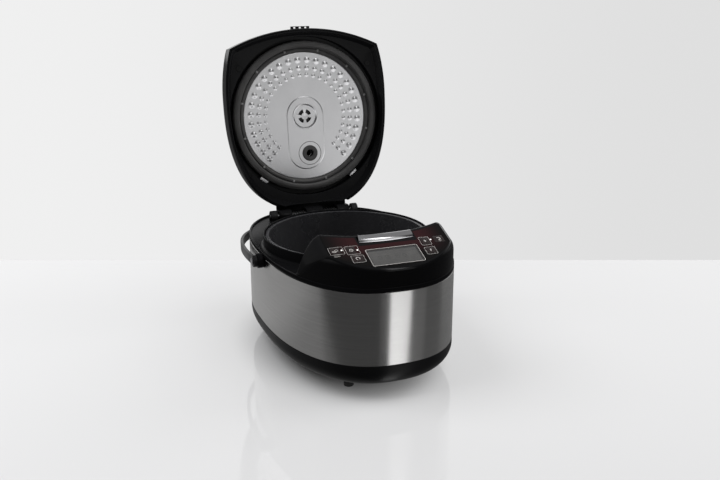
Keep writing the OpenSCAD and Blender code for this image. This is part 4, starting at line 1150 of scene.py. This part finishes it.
# Gasket: a grey silicone ring that grips the inner lid, with a raised lip round a darker groove.
seal_silicone = Finish("seal_silicone", (0.06, 0.06, 0.06), 0.5, Specular_IOR_Level=0.25)
seal_silicone.mottle("Roughness", 90, 0.42, 0.58)
seal_silicone.mottle("Base Color", 30, (0.06, 0.059, 0.059), (0.085, 0.084, 0.083))
seal_silicone.bump(seal_silicone.noise(1600, 2), 0.01 * MM)
lip = [(100.1, 183.5), (118, 183.5), (118, 175), (116.5, 172.6), (113, 171.2), (109.5, 171), (108.3, 172),
       (107.8, 178.6), (106.2, 178.6), (105.6, 177.4), (102.4, 177.4), (101.4, 180), (100.1, 180)]
gasket = soften(turned("gasket_lip", rounded_path(lip, 0.6), 160), 0, 50)
fit_lid(gasket, seal_silicone, "inner_lid_set", "gasket_ring")
# The gasket's twelve tabs are coloured a pale grey, a painted highlight for the glints they catch.
tab_silicone_painted_highlight = textured_black("tab_silicone_painted_highlight", (0.26, 0.26, 0.26), 0.5)


def blocks_round(name, low, high, rounding, turns):
    """The same block at several turns round the bowl's axis."""
    blocks = []
    for degrees in turns:
        blocks.append(block(name, low, high, rounding))
        blocks[-1].data.transform(turn_about(at((0, 0, 0)), degrees, "Z"))
    return blocks


tabs = blocks_round("tab", (103, -1.6, 176.4), (106.8, 1.6, 178.2), 0.7, [30 * k - 16 for k in range(12)])
fit_lid(join("gasket_tabs", tabs), tab_silicone_painted_highlight, "inner_lid_set", slot="seal_silicone")


# Vent and steam outlet: a dished metal grille with four curved slots over the bowl's middle, and a dark
# silicone sleeve that leads through the inner lid to the valve.
dish = [(0, 182.6), (16.9, 182.6), (17.6, 182.6), (18.6, 180.3), (19.6, 179.8), (20.6, 179.9), (20.6, 180.4),
        (19.4, 180.4), (19, 181.2), (17.8, 183.6), (0, 183.6)]
grille = turned("vent_dish", rounded_path(dish, 0.35), 96)
for middle in (45, 135, 225, 315):
    sweep = range(middle - 30, middle + 31, 5)
    curve = bend(0, 0, 11, sweep) + bend(0, 0, 5.5, sweep)[::-1]
    cut(grille, prism("arc", [(x, y, 178) for x, y in curve], (0, 0, 6)))
fit_lid(soften(grille, 0, 34), inner_lid_metal, "inner_lid_set", "centre_vent")
throat = [(6, 178.8), (11.4, 178.8), (12.6, 179.6), (12.6, 180.4), (9.4, 180.4), (9.4, 182.1), (11, 182.4),
          (11, 183.4), (9, 185.5), (6, 185.5)]
brim = [(18, 180.7), (18, 180.3), (18.9, 180.3), (18.9, 180.7)]
sleeve = join("outlet_sleeve", [turned("outlet_sleeve", rounded_path(throat, 0.4), 72, OUTLET),
                                turned("outlet_line", rounded_path(brim, 0.2), 96, OUTLET)])
fit_lid(soften(sleeve, 0, 50), seal_silicone, "inner_lid_set", "outlet_seal")
clip_chrome = polished("clip_chrome", (0.9, 0.9, 0.91), 0.4, 0.01, 0.04)
clips = blocks_round("clip", (119.4, -7, 174.5), (123.8, 7, 184), 0.5, (52, 128))
fit_lid(join("inner_lid_clips", clips), clip_chrome, "lid", "lid_clips")


# Steam valve: a turned black cup let into the lid's top, closed by a lift-out cap with three slots.
well = [(6, 187), (12, 187), (12, 204), (24, 206), (24, 230), (22, 230), (22, 208), (10, 206), (10, 196), (6, 196)]
cup = turned("valve_well", rounded_path(well, 0.5), 96, OUTLET)
fit_lid(soften(cup, 0, 50), lid_black, "lid", "valve_cup")
top = [(0, 230.3), (19.5, 230.3), (19.5, 214), (21.4, 214), (21.4, 230.3), (24, 230.3), (24, 232), (22.6, 233.2),
       (0, 234)]
cap = turned("valve_lid", rounded_path(top, 0.6), 96, OUTLET)
cut(cap, *[block("slot", (OUTLET[0] + x - 1.5, OUTLET[1] - 9, 228), (OUTLET[0] + x + 1.5, OUTLET[1] + 9, 236))
           for x in (-8, 0, 8)])
fit_lid(soften(cap, 0, 34), lid_black, "steam_valve", "valve_cap")
